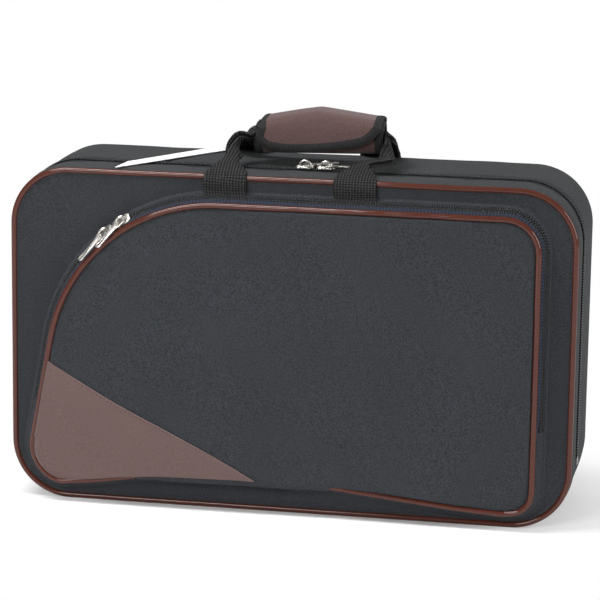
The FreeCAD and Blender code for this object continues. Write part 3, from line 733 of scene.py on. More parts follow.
def sagging(point):
    drop = np.interp(point.x, [x for x, _ in LOWER_EDGE], [z for _, z in LOWER_EDGE])
    share = max(0.0, min(1.0, (SAG_TOP - point.z) / SAG_FADE))
    return point + Vector((0, 0, float(drop) * share * share * (3 - 2 * share)))


def sag(point, station, out):
    """The sag, and where the cloth hangs over the piping, a small move back that hides it."""
    moved = sagging(point)
    hidden = bump(point.x, -112, 40, 6, 10) * bump(point.z, -50, 34, 3)
    return moved + Vector((0, 1.1 * hidden, 1.2 * hidden))


def overhang(x, z):
    """1 along the part of the lower edge where the cloth hangs over the piping, 0 beside it and above."""
    return bump(x, -108, 36, 9, 14) if z < 60 else 0


def pocket_height(x, z, deep):
    crown = 2.0 * (1 - math.exp(-deep / 45))
    seam = 1.9 * math.exp(-(deep / 2.4) ** 2)
    lip = 2.6 * overhang(x, z) * math.exp(-deep / 9)
    return POCKET_FACE - crown + seam - lip + 0.25 * wave(x * 0.8 + z, 6, 130)


def pocket_shift(point, station, out):
    hanging = 5.2 * overhang(point.x, point.z) * math.exp(out / 8)
    return sagging(point) - Vector((0, 0, hanging))


pocket = panel("pocket_front_cloth", pocket_edge, POCKET_INSET, pocket_height, shift=pocket_shift)
thicken(pocket, POCKET_THICKNESS)
finish_piece(pocket, pocket_cloth, "pocket", "pocket_panel")

pocket_cord = band("pocket_piping_cord", pocket_edge, round_profile(0, POCKET_FACE + 1, PIPING), spacing=2.5,
                   shift=lambda p, s, o: sag(p, s, o) + Vector((0, 0.3 * wave(s, 2, 80), 0)))
finish_piece(pocket_cord, piping_vinyl, "pocket", "pocket_piping")


def slope_y(out):
    """The y of the slope round the pocket, at a distance outward from its seam."""
    return SLOPE_TOP + POCKET_LEAN * out


def sloping(near, far, raised, thickness=1.3):
    """A band on the pocket's slope between two distances from its seam, a little proud of it."""
    lean = math.atan(POCKET_LEAN)
    rise = Vector((math.sin(lean), -math.cos(lean)))
    points = []
    for share, lift in ((0, 0), (0.12, 0.8), (0.5, 1), (0.88, 0.8), (1, 0)):
        out = near + (far - near) * share
        points.append((out + rise.x * raised * lift, slope_y(out) + rise.y * raised * lift))
    for share in (1, 0.5, 0):
        out = near + (far - near) * share
        points.append((out - rise.x * thickness, slope_y(out) - rise.y * thickness))
    return points


# The pocket's zip ends above the lower corners: its teeth first, then its navy tape, then plain cloth.
POCKET_TEETH_END = 74.0
POCKET_ZIP_END = 52.0
TAPE_NARROWS = 34


def narrowing(point, station, out):
    """The sag, and at the right a navy tape that narrows towards its lower end."""
    moved = sag(point, station, out)
    share = max(0.0, min(1.0, (point.z - POCKET_ZIP_END) / TAPE_NARROWS))
    if point.x > 0:
        moved.x -= max(0.0, out - 0.8) * 0.75 * (1 - share)
    return moved


gusset = band("pocket_gusset_tape", pocket_edge, sloping(0.6, 3.9, 0.35), shift=narrowing,
              reach=lambda x, z: z > POCKET_ZIP_END)
finish_piece(gusset, navy_tape, "pocket", "pocket_gusset")
lower_gusset = band("pocket_lower_gusset", pocket_edge, sloping(0.5, 6.35, 0.1), shift=sag,
                    reach=lambda x, z: z < POCKET_TEETH_END + 1)
lower_gusset.data.materials.append(front_cloth)
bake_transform(lower_gusset)
outer_tape = band("pocket_outer_zip_tape", pocket_edge, sloping(6.5, 8.9, 0.35, 0.8), shift=sag)
finish_piece(outer_tape, front_cloth, "lid", "pocket_outer_tape")
for level, out, phase, body, node in (("inner", 4.25, 0.0, "pocket", "pocket_coil_inner"),
                                      ("outer", 5.75, 0.5, "lid", "pocket_coil_outer")):
    teeth = zip_teeth(f"pocket_{level}_teeth", pocket_edge, (out, slope_y(out), (0.74, -0.68)), 1.7,
                      (0.95, 2.1, 1.3), phase, lambda x, z: z > POCKET_TEETH_END, lambda p: sag(p, 0, 0))
    finish_piece(teeth, zip_nylon, body, node)
    backing = band(f"pocket_{level}_coil_cord", pocket_edge, sloping(out - 0.75, out + 0.75, -0.3, 1.2),
                   shift=sag, reach=lambda x, z: z > POCKET_TEETH_END - 4)
    finish_piece(backing, black_tape, body)


# Suede patch over the pocket's lower left corner. Its seam falls to the right from its high end.

SEAM_HIGH = Vector((-170.5, 103))
SEAM_FALL = -78.3 / 138.0
PATCH_MAP = (160, 80)


def patch_point(x, z, lift):
    """A place on the pocket's cloth, lifted off it."""
    deep = pocket_edge.depth(x, z)
    y = pocket_height(x, z, deep) - lift
    return pocket_shift(Vector((x, y, z)), 0, -deep)


def seam_height(x):
    return SEAM_HIGH.y + SEAM_FALL * (x - SEAM_HIGH.x)


def seam_ends(inset):
    """Where the patch's seam meets the pocket's edge, as distances round it."""
    below = []
    for distance in np.arange(0, pocket_edge.length, 0.5):
        x, z, out_x, out_z = pocket_edge.at(distance)
        x, z = x - out_x * inset, z - out_z * inset
        if z < seam_height(x) and x < 0:
            below.append(distance)
    return min(below), max(below)


def corner_patch(inset=1.2, steps=70, rows=26):
    """Builds the patch between its seam and the pocket's edge, and gives the seam's two ends."""
    first, last = seam_ends(inset)
    grid = []
    ends = []
    for distance in (first, last):
        x, z, out_x, out_z = pocket_edge.at(distance)
        ends.append(Vector((x - out_x * inset, z - out_z * inset)))
    for row in range(rows + 1):
        share = row / rows
        line = []
        for step in range(steps + 1):
            along = step / steps
            x, z, out_x, out_z = pocket_edge.at(first + (last - first) * along)
            rim = Vector((x - out_x * inset, z - out_z * inset))
            seam = ends[0].lerp(ends[1], along)
            spot = seam.lerp(rim, share)
            edge_round = 0.45 * math.exp(-(share * 12) ** 2)
            line.append(patch_point(spot.x, spot.y, 0.75 - edge_round))
        grid.append(line)
    piece = mesh_from_grid("corner_patch_cloth", grid, np.linspace(0, PATCH_MAP[0], steps + 1),
                           np.linspace(0, PATCH_MAP[1], rows + 1))
    smooth(piece, 60)
    thicken(piece, 0.7)
    finish_piece(piece, brown_cloth, "pocket", "corner_patch")
    return ends


seam_tips = corner_patch()


def stitch_line(name, points, ups, material, body, length=2.6, gap=1.1, width=0.42):
    """Short threads set end to end along a line of points; ups are the surface directions."""
    distance = running(points)
    table = np.array(points)
    lean = np.array([list(up) for up in ups])
    matrices = []
    spot = length / 2
    while spot < distance[-1] - length / 2:
        here, there = (Vector([np.interp(d, distance, table[:, c]) for c in range(3)])
                       for d in (spot - 0.4, spot + 0.4))
        up = Vector([np.interp(spot, distance, lean[:, c]) for c in range(3)])
        matrices.append(frame_at((here + there) / 2, there - here, up))
        spot += length + gap
    bpy.ops.mesh.primitive_uv_sphere_add(segments=6, ring_count=4, radius=0.5)
    thread = bpy.context.active_object
    thread.scale = (length, width, width)
    place(thread)
    return finish_piece(copies(name, thread, matrices), material, body)


slant = (seam_tips[0] - seam_tips[1]).normalized()
below = Vector((slant.y, -slant.x))
if below.y > 0:
    below = -below
for number, offset in enumerate((1.6, 4.2)):
    line = []
    for share in np.linspace(0.02, 0.98, 60):
        spot = seam_tips[1].lerp(seam_tips[0], share) + below * offset
        if pocket_edge.depth(spot.x, spot.y) > 3:
            line.append(patch_point(spot.x, spot.y, 0.95))
    stitch_line(f"patch_stitches_{number + 1}", line, [(0, -1, 0)] * len(line), brown_thread, "pocket",
                2.2, 0.8, 0.55)


# Webbing loops: a 30 mm ribbon whose edges fold behind where it narrows

RIBBON = 30.0
NARROWEST = 6.8
SEWN_LOW = 228.3
SEWN_HEIGHT = 12
STEPS_BETWEEN = 16


def curve_through(values, count):
    """Smooth values through evenly numbered stations."""
    values = np.array(values, float)
    spots = np.linspace(0, len(values) - 1, count)
    result = []
    for spot in spots:
        index = min(int(spot), len(values) - 2)
        share = spot - index
        before = values[max(index - 1, 0)]
        start, end = values[index], values[index + 1]
        after = values[min(index + 2, len(values) - 1)]
        result.append(0.5 * (2 * start + (end - before) * share
                             + (2 * before - 5 * start + 4 * end - after) * share ** 2
                             + (3 * start - before - 3 * end + after) * share ** 3))
    return np.array(result)


def folded_section(width, points=33):
    """The ribbon's section at a width: flat in the middle, with its spare edges turned behind one by one."""
    narrow = width < RIBBON - 0.3
    section = []
    for step in range(points):
        s = -RIBBON / 2 + RIBBON * step / (points - 1)
        side, bend = (-1, 0.8) if s < 0 else (1, 1.5)
        flat = width / 2 - (bend if narrow else 0)
        spare = abs(s) - flat
        if spare <= 0:
            section.append((s, 0.0))
            continue
        angle = min(spare / bend, math.pi)
        back = max(0.0, spare - math.pi * bend)
        section.append((side * (flat + bend * math.sin(angle) - back), bend * (1 - math.cos(angle))))
    return section


def ribbon(name, stations, body, *nodes, fold=1):
    """Webbing along stations of a centre, the direction across it and its width; its spare edges
    fold to one side or, with fold=-1, to the other."""
    count = STEPS_BETWEEN * (len(stations) - 1)
    centres = curve_through([centre for centre, *_ in stations], count)
    acrosses = curve_through([across for _, across, _ in stations], count)
    widths = curve_through([width for *_, width in stations], count)
    centres = [Vector(c) for c in centres]
    rows = []
    for index, centre in enumerate(centres):
        ahead = centres[min(index + 1, count - 1)]
        behind = centres[max(index - 1, 0)]
        along = (ahead - behind).normalized()
        across = Vector(acrosses[index])
        across = (across - along * across.dot(along)).normalized()
        through = along.cross(across).normalized() * fold
        width = max(NARROWEST, min(RIBBON, widths[index]))
        rows.append([centre + across * a + through * b for a, b in folded_section(width)])
    piece = mesh_from_grid(name, rows, np.linspace(0, RIBBON, len(rows[0])), running(centres))
    modify(piece, "SOLIDIFY", thickness=1.35 * MM, offset=0)
    modify(piece, "BEVEL", width=0.35 * MM, segments=2, angle_limit=math.radians(50))
    smooth(piece, 50)
    return finish_piece(piece, webbing, body, *nodes)


FLAT, FLAT_BACK, UPRIGHT = (1, 0, 0), (-1, 0, 0), (0, 0, 1)
front_loop = [
    ((-46.5, -53.0, 230), FLAT, 30), ((-46.5, -53.8, 236), FLAT, 30), ((-46.3, -53.0, 240.8), FLAT, 30),
    ((-46.5, -49.3, 243.8), FLAT, 28.5), ((-47.0, -43.5, 245.8), FLAT, 24), ((-47.5, -37, 248.2), FLAT, 16.5),
    ((-46.8, -30, 250.8), FLAT, 10.0), ((-46.2, -23.0, 254.0), (1, 0.4, -0.2), 7.4),
    ((-45.6, -16.0, 257.4), (0.35, 0.8, -0.5), 6.8), ((-44.6, -11.5, 259.8), (0.1, 0.9, -0.4), 6.8),
    ((-42.0, -8.0, 260.6), (0, 1, -0.2), 6.8), ((-38.0, -4.6, 261.2), (-0.1, 1, 0.1), 6.8),
    ((-34, -0.3, 263.8), (-0.1, 0.8, 0.6), 8), ((-28, 1.2, 262.8), (0, 0.3, 1), 9),
    ((12, 1.5, 262), UPRIGHT, 9), ((49, 1.5, 263), UPRIGHT, 9), ((56, 0.2, 263.4), UPRIGHT, 7.5),
    ((61.4, -4.0, 261.6), (-0.2, -0.3, 0.9), 7), ((63.6, -10.0, 258.0), (-0.3, -0.1, 0.75), 7),
    ((63.6, -16.0, 255.1), (-0.75, 0.1, 0.45), 7.2), ((61.5, -21.5, 253.5), (-0.65, 0.7, 0.1), 7.6),
    ((57.0, -25.5, 252.9), (-0.45, 0.9, 0), 7.6), ((52.2, -28.5, 252.6), (-0.5, 0.85, 0), 7.8),
    ((48.4, -32.2, 251.8), (-0.85, 0.5, 0), 8.5), ((46.8, -37.2, 249.9), FLAT_BACK, 13),
    ((46.1, -43.2, 247.0), FLAT_BACK, 22), ((45.6, -49.3, 244.0), FLAT_BACK, 28.5),
    ((45.6, -53.0, 240.8), FLAT_BACK, 30), ((45.6, -53.8, 236), FLAT_BACK, 30),
    ((45.8, -53.0, 230), FLAT_BACK, 30),
]
ribbon("front_loop_webbing", front_loop, "front_handle", "front_webbing")
rear_loop = [
    ((-46, 54.0, 232), FLAT, 30), ((-46, 54.3, 237), FLAT, 30), ((-46, 53.7, 241.5), FLAT, 30),
    ((-46.4, 50.2, 245.4), FLAT, 29), ((-47, 44, 247.4), FLAT, 26), ((-47.8, 37, 249.8), FLAT, 21.5),
    ((-47.8, 30, 252.8), FLAT, 16.5), ((-46.4, 23.5, 256.6), (1, 0.1, 0.3), 12.5),
    ((-42.6, 18.4, 260.8), (0.7, 0.2, 0.6), 9.5), ((-36.6, 15.6, 264.6), (0.3, 0.2, 0.9), 8),
    ((-29, 14.4, 266.8), UPRIGHT, 9), ((12, 14.4, 267.5), UPRIGHT, 9),
    ((48, 14.4, 268.2), UPRIGHT, 9), ((53.4, 15.2, 267.6), (-0.2, 0.2, 1), 8),
    ((56.6, 18.6, 265.0), (-0.7, 0.2, 0.6), 8), ((57.4, 24.5, 260.8), (-1, 0.1, 0.3), 8),
    ((56.6, 31, 256.4), FLAT_BACK, 9.5), ((54.4, 37.5, 252.4), FLAT_BACK, 14),
    ((50.8, 44.2, 248.8), FLAT_BACK, 22), ((47.5, 50.2, 245.6), FLAT_BACK, 28),
    ((46, 53.7, 241.5), FLAT_BACK, 30),
    ((46, 54.3, 237), FLAT_BACK, 30), ((46, 54.0, 232), FLAT_BACK, 30),
]
ribbon("rear_loop_webbing", rear_loop, "rear_handle", "rear_webbing", fold=-1)


def sewn_end(name, x, y, out, body, node):
    """The webbing's end, sewn down on the panel with a box of stitches."""
    rows = []
    heights = np.linspace(SEWN_LOW, SEWN_LOW + SEWN_HEIGHT, 9)
    for z in heights:
        over_tape = 0.6 * max(0.0, SEWN_LOW + 3.4 - z)
        rows.append([(x + u, y + out * over_tape, z) for u in np.linspace(-15, 15, 9)])
    piece = mesh_from_grid(name, rows, np.linspace(0, RIBBON, 9), heights)
    modify(piece, "SOLIDIFY", thickness=1.3 * MM, offset=0)
    modify(piece, "BEVEL", width=0.35 * MM, segments=2)
    finish_piece(smooth(piece, 50), webbing, body, node)
    low, high = SEWN_LOW + 4, SEWN_LOW + 9
    box = [(x - 13, low), (x + 13, low), (x + 13, high), (x - 13, high), (x - 13, low)]
    line = [Vector((a, y + out * 0.75, b)) for a, b in box]
    stitch_line(f"{name}_stitches", line, [(0, out, 0)] * len(line), black_thread, body, 1.8, 0.6, 0.45)


for side, x in (("left", -46), ("right", 46)):
    sewn_end(f"front_{side}_sewn_webbing", x, FRONT_FACE - 1.2, -1, "lid", f"front_anchor_{side}")
    sewn_end(f"rear_{side}_sewn_webbing", x, BACK_FACE + 1.0, 1, "base", f"rear_anchor_{side}")


# Padded wrap round the handles, its end bindings, and the flap over it

WRAP_LEFT, WRAP_RIGHT = -34.0, 56.0
WRAP_MIDDLE = 11.0
WRAP_FRONT, WRAP_REAR = -8.5, 11.5
WRAP_LOW, WRAP_EAVES, WRAP_RIDGE = 252.0, 275.4, 282.0
WRAP_TILT = 0.022
WRAP_STEPS = 36
WRAP_SQUARENESS = 0.62


def ridge_at(x):
    """The height of the wrap's ridge: highest at its middle, with a blunt tip."""
    share = abs(x - WRAP_MIDDLE) / (WRAP_RIGHT - WRAP_MIDDLE)
    blunt = math.sqrt(share ** 2 + 0.0016) - 0.04
    return WRAP_RIDGE + (WRAP_EAVES - WRAP_RIDGE) * blunt + WRAP_TILT * (x - WRAP_MIDDLE)


def lean_in(x, z):
    """The wrap's left end leans to the right towards its top."""
    near_end = max(0.0, 1 - (x - WRAP_LEFT) / 30)
    return 5.0 * near_end * max(0.0, min(1.0, (z - 262) / 14))


def wrap_section(x, grow=0.0):
    """The wrap's section across the handle, as (y, z) points; it bellies out between its ends."""
    share = (x - WRAP_MIDDLE) / (WRAP_RIGHT - WRAP_MIDDLE)
    belly = 0.6 * (1 - share ** 4)
    low = WRAP_LOW + 0.2 - belly - grow + 1.3 * WRAP_TILT * (x - WRAP_MIDDLE)
    high = ridge_at(x) - 0.8 + grow
    front, rear = WRAP_FRONT + 0.8 - belly - grow, WRAP_REAR - 0.8 + belly * 0.3 + grow
    middle_y, middle_z = (front + rear) / 2, (low + high) / 2
    half_y, half_z = (rear - front) / 2, (high - low) / 2
    section = []
    for step in range(WRAP_STEPS):
        angle = math.tau * step / WRAP_STEPS
        c, s = math.cos(angle), math.sin(angle)
        section.append((middle_y + half_y * math.copysign(abs(c) ** WRAP_SQUARENESS, c),
                        middle_z + half_z * math.copysign(abs(s) ** WRAP_SQUARENESS, s)))
    return section


def wrap_body(xs):
    """The padded wrap itself, closed at both ends."""
    rows = [[(x + lean_in(x, z), y, z) for y, z in wrap_section(x)] for x in xs]
    section = [(0, y, z) for y, z in wrap_section(xs[0])]
    piece = mesh_from_grid("wrap_padding", rows, running(section + section[:1]), list(xs), wrap_across=True)
    edit(piece, lambda: bpy.ops.mesh.select_all(action="DESELECT"),
         bpy.ops.mesh.select_non_manifold, bpy.ops.mesh.edge_face_add)
    return smooth(outward(piece), 60)


wrap = wrap_body(np.linspace(WRAP_LEFT, WRAP_RIGHT, 61))
finish_piece(wrap, wrap_cloth, "front_handle", "wrap_pad")


def end_binding(name, inner, outer):
    """Black tape folded over one end of the wrap."""
    xs = np.linspace(inner, outer, 6)
    rows = []
    for x, grow in zip((*xs, outer), (0.2, 0.4, 0.5, 0.5, 0.3, -0.3, -3.6)):
        on_wrap = max(min(x, WRAP_RIGHT), WRAP_LEFT)
        rows.append([(x + lean_in(x, z), y, z) for y, z in wrap_section(on_wrap, grow)])
    section = [(0, y, z) for y, z in wrap_section(inner)]
    along = [0, 1.2, 2.4, 3.6, 4.8, 6, 9.6]
    piece = mesh_from_grid(name, rows, running(section + section[:1]), along, wrap_across=True)
    modify(piece, "SOLIDIFY", thickness=0.5 * MM, offset=0)
    return smooth(outward(piece), 50)


bindings = join("wrap_end_tapes", [end_binding("left_tape", WRAP_LEFT + 4.5, WRAP_LEFT - 1.0),
                                   end_binding("right_tape", WRAP_RIGHT - 4.5, WRAP_RIGHT + 1.0)])
finish_piece(bindings, binding_tape, "front_handle", "wrap_end_bindings")
paint("wrap_loop_strip", hook_tape)
paint("flap_hook_strip", hook_tape)

FLAP_FRONT = -11.6
# The flap's lower edge from left to right, as x and height.
FLAP_EDGE = [(-34, 267.5), (-33, 263.5), (-31, 260), (-28, 257.4), (-24, 255.6), (-16, 254.5), (-8, 254.3),
             (9.5, 255.3), (20, 256.6), (31, 258.4), (38, 259.7), (44, 261.4), (48, 263.6), (51.4, 266.8),
             (54, 269.8), (56.4, 273.2), (58, 276)]
FLAP_STEPS = 46


def flap_low(x):
    """The flap's lower edge: lowest left of its middle, rising in a long curve to the right."""
    low = float(np.interp(x, [spot for spot, _ in FLAP_EDGE], [z for _, z in FLAP_EDGE]))
    return min(low, ridge_at(x) - 4.2)


def flap_path(x):
    """The flap's course at a place along the handle, from its rear edge over the ridge to its lower edge."""
    top = ridge_at(x) + 1.1
    rear = WRAP_REAR - 0.4
    low = flap_low(x)
    route = [(rear, top - 3.2), (rear - 0.9, top - 1.0), (rear - 3.5, top), (rear - 8, top + 0.3),
             (rear - 13, top - 0.1), (FLAP_FRONT + 3.6, top - 1.2), (FLAP_FRONT + 1.0, top - 4.4)]
    belly = 0.8 * math.sin((x - WRAP_LEFT) / (WRAP_RIGHT - WRAP_LEFT) * math.pi)
    for share in (0.25, 0.5, 0.75, 1.0):
        z = (top - 4.4) + (low - (top - 4.4)) * share
        route.append((FLAP_FRONT + 0.3 - belly * math.sin(share * 2.2), z))
    points = curve_through(route, FLAP_STEPS)
    return [(x + lean_in(x, z), y, z) for y, z in points]


flap_xs = np.concatenate([np.linspace(WRAP_LEFT, WRAP_LEFT + 12, 13),
                          np.linspace(WRAP_LEFT + 14, WRAP_RIGHT - 24, 31),
                          np.linspace(WRAP_RIGHT - 23, WRAP_RIGHT, 24)])
flap_rows = [flap_path(x) for x in flap_xs]
flap = mesh_from_grid("wrap_flap_cloth", flap_rows, running(flap_rows[len(flap_rows) // 2]),
                      [x - WRAP_LEFT for x in flap_xs])
flap_length = max(running(row)[-1] for row in flap_rows)
modify(flap, "SOLIDIFY", thickness=1.6 * MM, offset=0)
smooth(outward(flap), 60)
finish_piece(flap, wrap_cloth, "wrap_flap", "wrap_flap")

BINDING_WIDTH = 5.0
BINDING_STEPS = 150


def flap_edge():
    """The flap's free edge, from its left rear corner down, along the bottom and up the right."""
    left = [Vector(p) for p in flap_path(WRAP_LEFT)]
    right = [Vector(p) for p in flap_path(WRAP_RIGHT)]
    bottom = [Vector(flap_path(x)[-1]) for x in flap_xs[1:-1]]
    return left + bottom + right[::-1]


def flap_normal(point):
    """The direction that the flap's outer face looks in, near a point."""
    if point.z < ridge_at(point.x) - 4:
        return Vector((0, -1, 0.05)).normalized()
    share = max(0.0, min(1.0, (point.y - FLAP_FRONT) / 7))
    rear = max(0.0, min(1.0, (point.y - WRAP_REAR + 3) / 3))
    return Vector((0, -(1 - share) + rear, share * (1 - rear * 0.5))).normalized()


def flap_binding():
    """Tape folded over the flap's edge, on both faces, with a row of stitches."""
    width = BINDING_WIDTH
    rim = flap_edge()
    table = np.array([list(p) for p in rim])
    distance = running(rim)
    spots = np.linspace(0, distance[-1], BINDING_STEPS)
    rim = [Vector([np.interp(d, distance, table[:, c]) for c in range(3)]) for d in spots]
    rows = []
    for index, point in enumerate(rim):
        ahead, behind = rim[min(index + 1, BINDING_STEPS - 1)], rim[max(index - 1, 0)]
        along = (ahead - behind).normalized()
        face = flap_normal(point)
        inward = face.cross(along).normalized()
        if inward.dot(Vector((WRAP_MIDDLE, point.y, 272)) - point) < 0:
            inward = -inward
        row = []
        for reach, rise in ((width, 0.95), (width - 0.6, 1.25), (width / 2, 1.3), (0.6, 1.2), (-0.7, 0.5),
                            (-0.7, -0.5), (0.6, -1.2), (width / 2, -1.3), (width, -1.0)):
            row.append(point + inward * reach + face * rise)
        rows.append(row)
    piece = mesh_from_grid("flap_edge_tape", rows, np.linspace(0, 14, 9), list(spots))
    modify(piece, "SOLIDIFY", thickness=0.4 * MM, offset=0)
    finish_piece(smooth(outward(piece), 60), binding_tape, "wrap_flap", "flap_binding")
    middle = [row[2] + (row[2] - row[6]).normalized() * 0.15 for row in rows]
    ups = [(row[2] - row[6]).normalized() for row in rows]
    stitch_line("flap_edge_stitches", middle, ups, black_thread, "wrap_flap", 1.9, 0.8, 0.4)


flap_binding()


# Zip sliders and pulls

def rounded(corners, steps=5):
    """A closed outline whose corners, (x, y, radius), are rounded off."""
    points = []
    count = len(corners)
    for index, (x, y, radius) in enumerate(corners):
        here = Vector((x, y))
        before = Vector(corners[index - 1][:2])
        after = Vector(corners[(index + 1) % count][:2])
        start = here + (before - here).normalized() * radius
        end = here + (after - here).normalized() * radius
        for step in range(steps + 1):
            t = step / steps
            points.append(start * (1 - t) ** 2 + here * 2 * t * (1 - t) + end * t ** 2)
    return points


def cut_plate(name, outline, holes, low, high, edge):
    """A flat plate with holes and softened edges between two heights, cut from a filled curve."""
    bpy.ops.object.select_all(action="DESELECT")
    curve = bpy.data.curves.new(name, "CURVE")
    curve.dimensions = "2D"
    curve.fill_mode = "BOTH"
    curve.offset = -edge
    curve.extrude = (high - low) / 2 - edge
    curve.bevel_depth = edge
    curve.bevel_resolution = 2
    for loop in (outline, *holes):
        spline = curve.splines.new("POLY")
        spline.points.add(len(loop) - 1)
        for point, spot in zip(spline.points, loop):
            point.co = (spot.x, spot.y, 0, 1)
        spline.use_cyclic_u = True
    piece = bpy.data.objects.new(name, curve)
    bpy.context.scene.collection.objects.link(piece)
    activate(piece)
    bpy.ops.object.convert(target="MESH")
    piece = bpy.context.active_object
    piece.scale = (MM, MM, MM)
    piece.location.z = (low + high) / 2 * MM
    place(piece)
    edit(piece, lambda: bpy.ops.mesh.remove_doubles(threshold=0.00001))
    return smooth(outward(piece), 35)


def rod(name, start, end, radius, count=16):
    """A round bar between two places."""
    start, end = Vector(start) * MM, Vector(end) * MM
    bpy.ops.mesh.primitive_cylinder_add(vertices=count, radius=radius * MM, depth=(end - start).length)
    piece = bpy.context.active_object
    piece.name = name
    piece.rotation_mode = "QUATERNION"
    piece.rotation_quaternion = (end - start).to_track_quat("Z", "Y")
    piece.location = (start + end) / 2
    place(piece)
    modify(piece, "BEVEL", width=radius * 0.25 * MM, segments=2)
    return smooth(piece, 35)


def arch(name, radius, wire, height, width):
    """The slider's crown: half a ring on edge, flattened across."""
    bpy.ops.mesh.primitive_torus_add(major_radius=radius * MM, minor_radius=wire * MM, major_segments=40,
                                     minor_segments=14, rotation=(math.pi / 2, 0, 0))
    piece = bpy.context.active_object
    piece.name = name
    place(piece)
    edit(piece, lambda: bpy.ops.mesh.bisect(plane_co=(0, 0, 0), plane_no=(0, 0, 1),
                                            clear_inner=True, use_fill=True))
    piece.scale = (1, width / (2 * wire), 1)
    piece.location = (0, 0, height * MM)
    place(piece)
    return smooth(outward(piece), 50)


def placed(piece, matrix):
    """Sets a piece made at the origin by a matrix whose place is in millimetres."""
    moved = matrix.copy()
    moved.translation = matrix.translation * MM
    piece.data.transform(moved)
    return piece


SLIDER_TOP = 1.5


def lip(name, first, last, low):
    """A slider's thin side wall between two places across it."""
    corners = [(4.6, first, 0.3), (4.6, last, 0.3), (-5.2, last, 0.3), (-5.2, first, 0.3)]
    return cut_plate(name, rounded(corners, 2), [], low, 0.8, 0.15)


def slider(name, matrix, flange_low, body, node):
    """A zip slider, made along X from its deck, side walls, ridge and crown, and set by its seat's matrix."""
    deck_outline = rounded([(6.5, -2.6, 1.2), (6.5, 2.6, 1.2), (3.4, 4.2, 1.8), (-4.6, 4.2, 1.0),
                            (-6.5, 2.9, 1.0), (-6.5, -2.9, 1.0), (-4.6, -4.2, 1.0), (3.4, -4.2, 1.8)])
    deck = cut_plate("deck", deck_outline, [], 0.35, SLIDER_TOP, 0.3)
    near = lip("near_lip", 3.5, 4.2, flange_low + 0.1)
    far = lip("far_lip", -4.2, -3.5, max(flange_low, -0.1) + 0.2)
    crown = arch("crown", 4.2, 0.8, 1.35, 2.4)
    ridge_outline = rounded([(5.6, -1.3, 0.6), (5.6, 1.3, 0.6), (-5.6, 1.3, 0.6), (-5.6, -1.3, 0.6)])
    ridge = cut_plate("ridge", ridge_outline, [], 1.2, 1.75, 0.2)
    piece = placed(join(name, [deck, near, far, crown, ridge]), matrix)
    return finish_piece(piece, nickel, body, node)


PULL_PIVOT = 2.3


def pull(name, matrix, length, turn, lift, body, node):
    """A pull tab on its cross bar, turned round the slider's upright and lifted about its own bar."""
    outline = rounded([(0.5, -3.9, 0.4), (4.6, -3.9, 1.4), (8.2, -1.9, 1.6), (length - 5, -1.9, 1.5),
                       (length - 0.1, -2.4, 2.2), (length - 0.1, 2.4, 2.2), (length - 5, 1.9, 1.5),
                       (8.2, 1.9, 1.6), (4.6, 3.9, 1.4), (0.5, 3.9, 0.4), (0.5, 2.9, 0.4), (3.9, 2.9, 0.8),
                       (3.9, -2.9, 0.8), (0.5, -2.9, 0.4)])
    slot = rounded([(length - 5.4, -0.75, 0.7), (length - 1.9, -0.75, 0.7), (length - 1.9, 0.75, 0.7),
                    (length - 5.4, 0.75, 0.7)])
    plate = cut_plate("plate", outline, [slot], PULL_PIVOT - 0.5, PULL_PIVOT + 0.5, 0.18)
    cross = rod("cross", (0, -3.9, PULL_PIVOT), (0, 3.9, PULL_PIVOT), 0.5)
    arms = [rod("arm", (0, y, PULL_PIVOT), (1.6, y, PULL_PIVOT), 0.48) for y in (-3.4, 3.4)]
    piece = join(name, [plate, cross, *arms])
    turned = Matrix.Rotation(math.radians(turn), 4, "Z")
    to_pivot = Matrix.Translation((0, 0, PULL_PIVOT))
    lifted = to_pivot @ Matrix.Rotation(math.radians(lift), 4, (0, -1, 0)) @ to_pivot.inverted()
    placed(piece, matrix @ turned @ lifted)
    return finish_piece(piece, nickel, body, node)


# The pocket's zip runs round its large corner in an arc.
ZIP_MIDDLE = 5.0
ARC_CENTRE = (-49.0, 0, 98.5)
ARC_RADIUS = 128.5


def pocket_seat(angle):
    """A seat on the pocket's zip at an angle round its large corner; X runs down the zip."""
    around = math.radians(angle)
    lean = math.atan(POCKET_LEAN)
    out = Vector((math.cos(around), 0, math.sin(around)))
    down = Vector((-math.sin(around), 0, math.cos(around)))
    normal = out * math.sin(lean) + Vector((0, -1, 0)) * math.cos(lean)
    matrix = Matrix((down, normal.cross(down), normal)).transposed().to_4x4()
    matrix.translation = Vector(ARC_CENTRE) + out * ARC_RADIUS + Vector((0, slope_y(ZIP_MIDDLE), 0))
    return matrix


MAIN_SEAT_HEIGHT = 243.1
for side, x, turn in (("left", 3.5, 35), ("right", 18.5, 0)):
    seat = Matrix.Translation((x, ZIP_LINE, MAIN_SEAT_HEIGHT))
    slider(f"main_{side}_slider_body", seat, -0.6, f"main_slider_{side}", f"main_slider_{side}")
    pull(f"main_{side}_pull_tab", seat, 26, turn, 0, f"main_pull_{side}", f"main_pull_{side}")
for level, angle, turn, lift in (("upper", 123.2, 37, 11), ("lower", 130, 26, 9)):
    seat = pocket_seat(angle)
    slider(f"pocket_{level}_slider_body", seat, 0.1, f"pocket_slider_{level}", f"pocket_slider_{level}")
    pull(f"pocket_{level}_pull_tab", seat, 27, turn, lift, f"pocket_pull_{level}", f"pocket_pull_{level}")


# Blank card tag on its pin

TAG_CORNERS = [(-126, -51, 1.0), (-61, 45, 1.5), (-75, 51, 1.5), (-123, -26, 1.0)]
TAG_LOW, TAG_HIGH = 243.42, 243.98
tag = cut_plate("blank_card_tag", rounded(TAG_CORNERS, 3), [], TAG_LOW, TAG_HIGH, 0.12)
finish_piece(tag, card, "hang_tag", "hang_tag")
paint("tag_pin", card)


# Inside: padded walls and floors, dividers and the accessory lid

FLOOR_INSET = 11.9
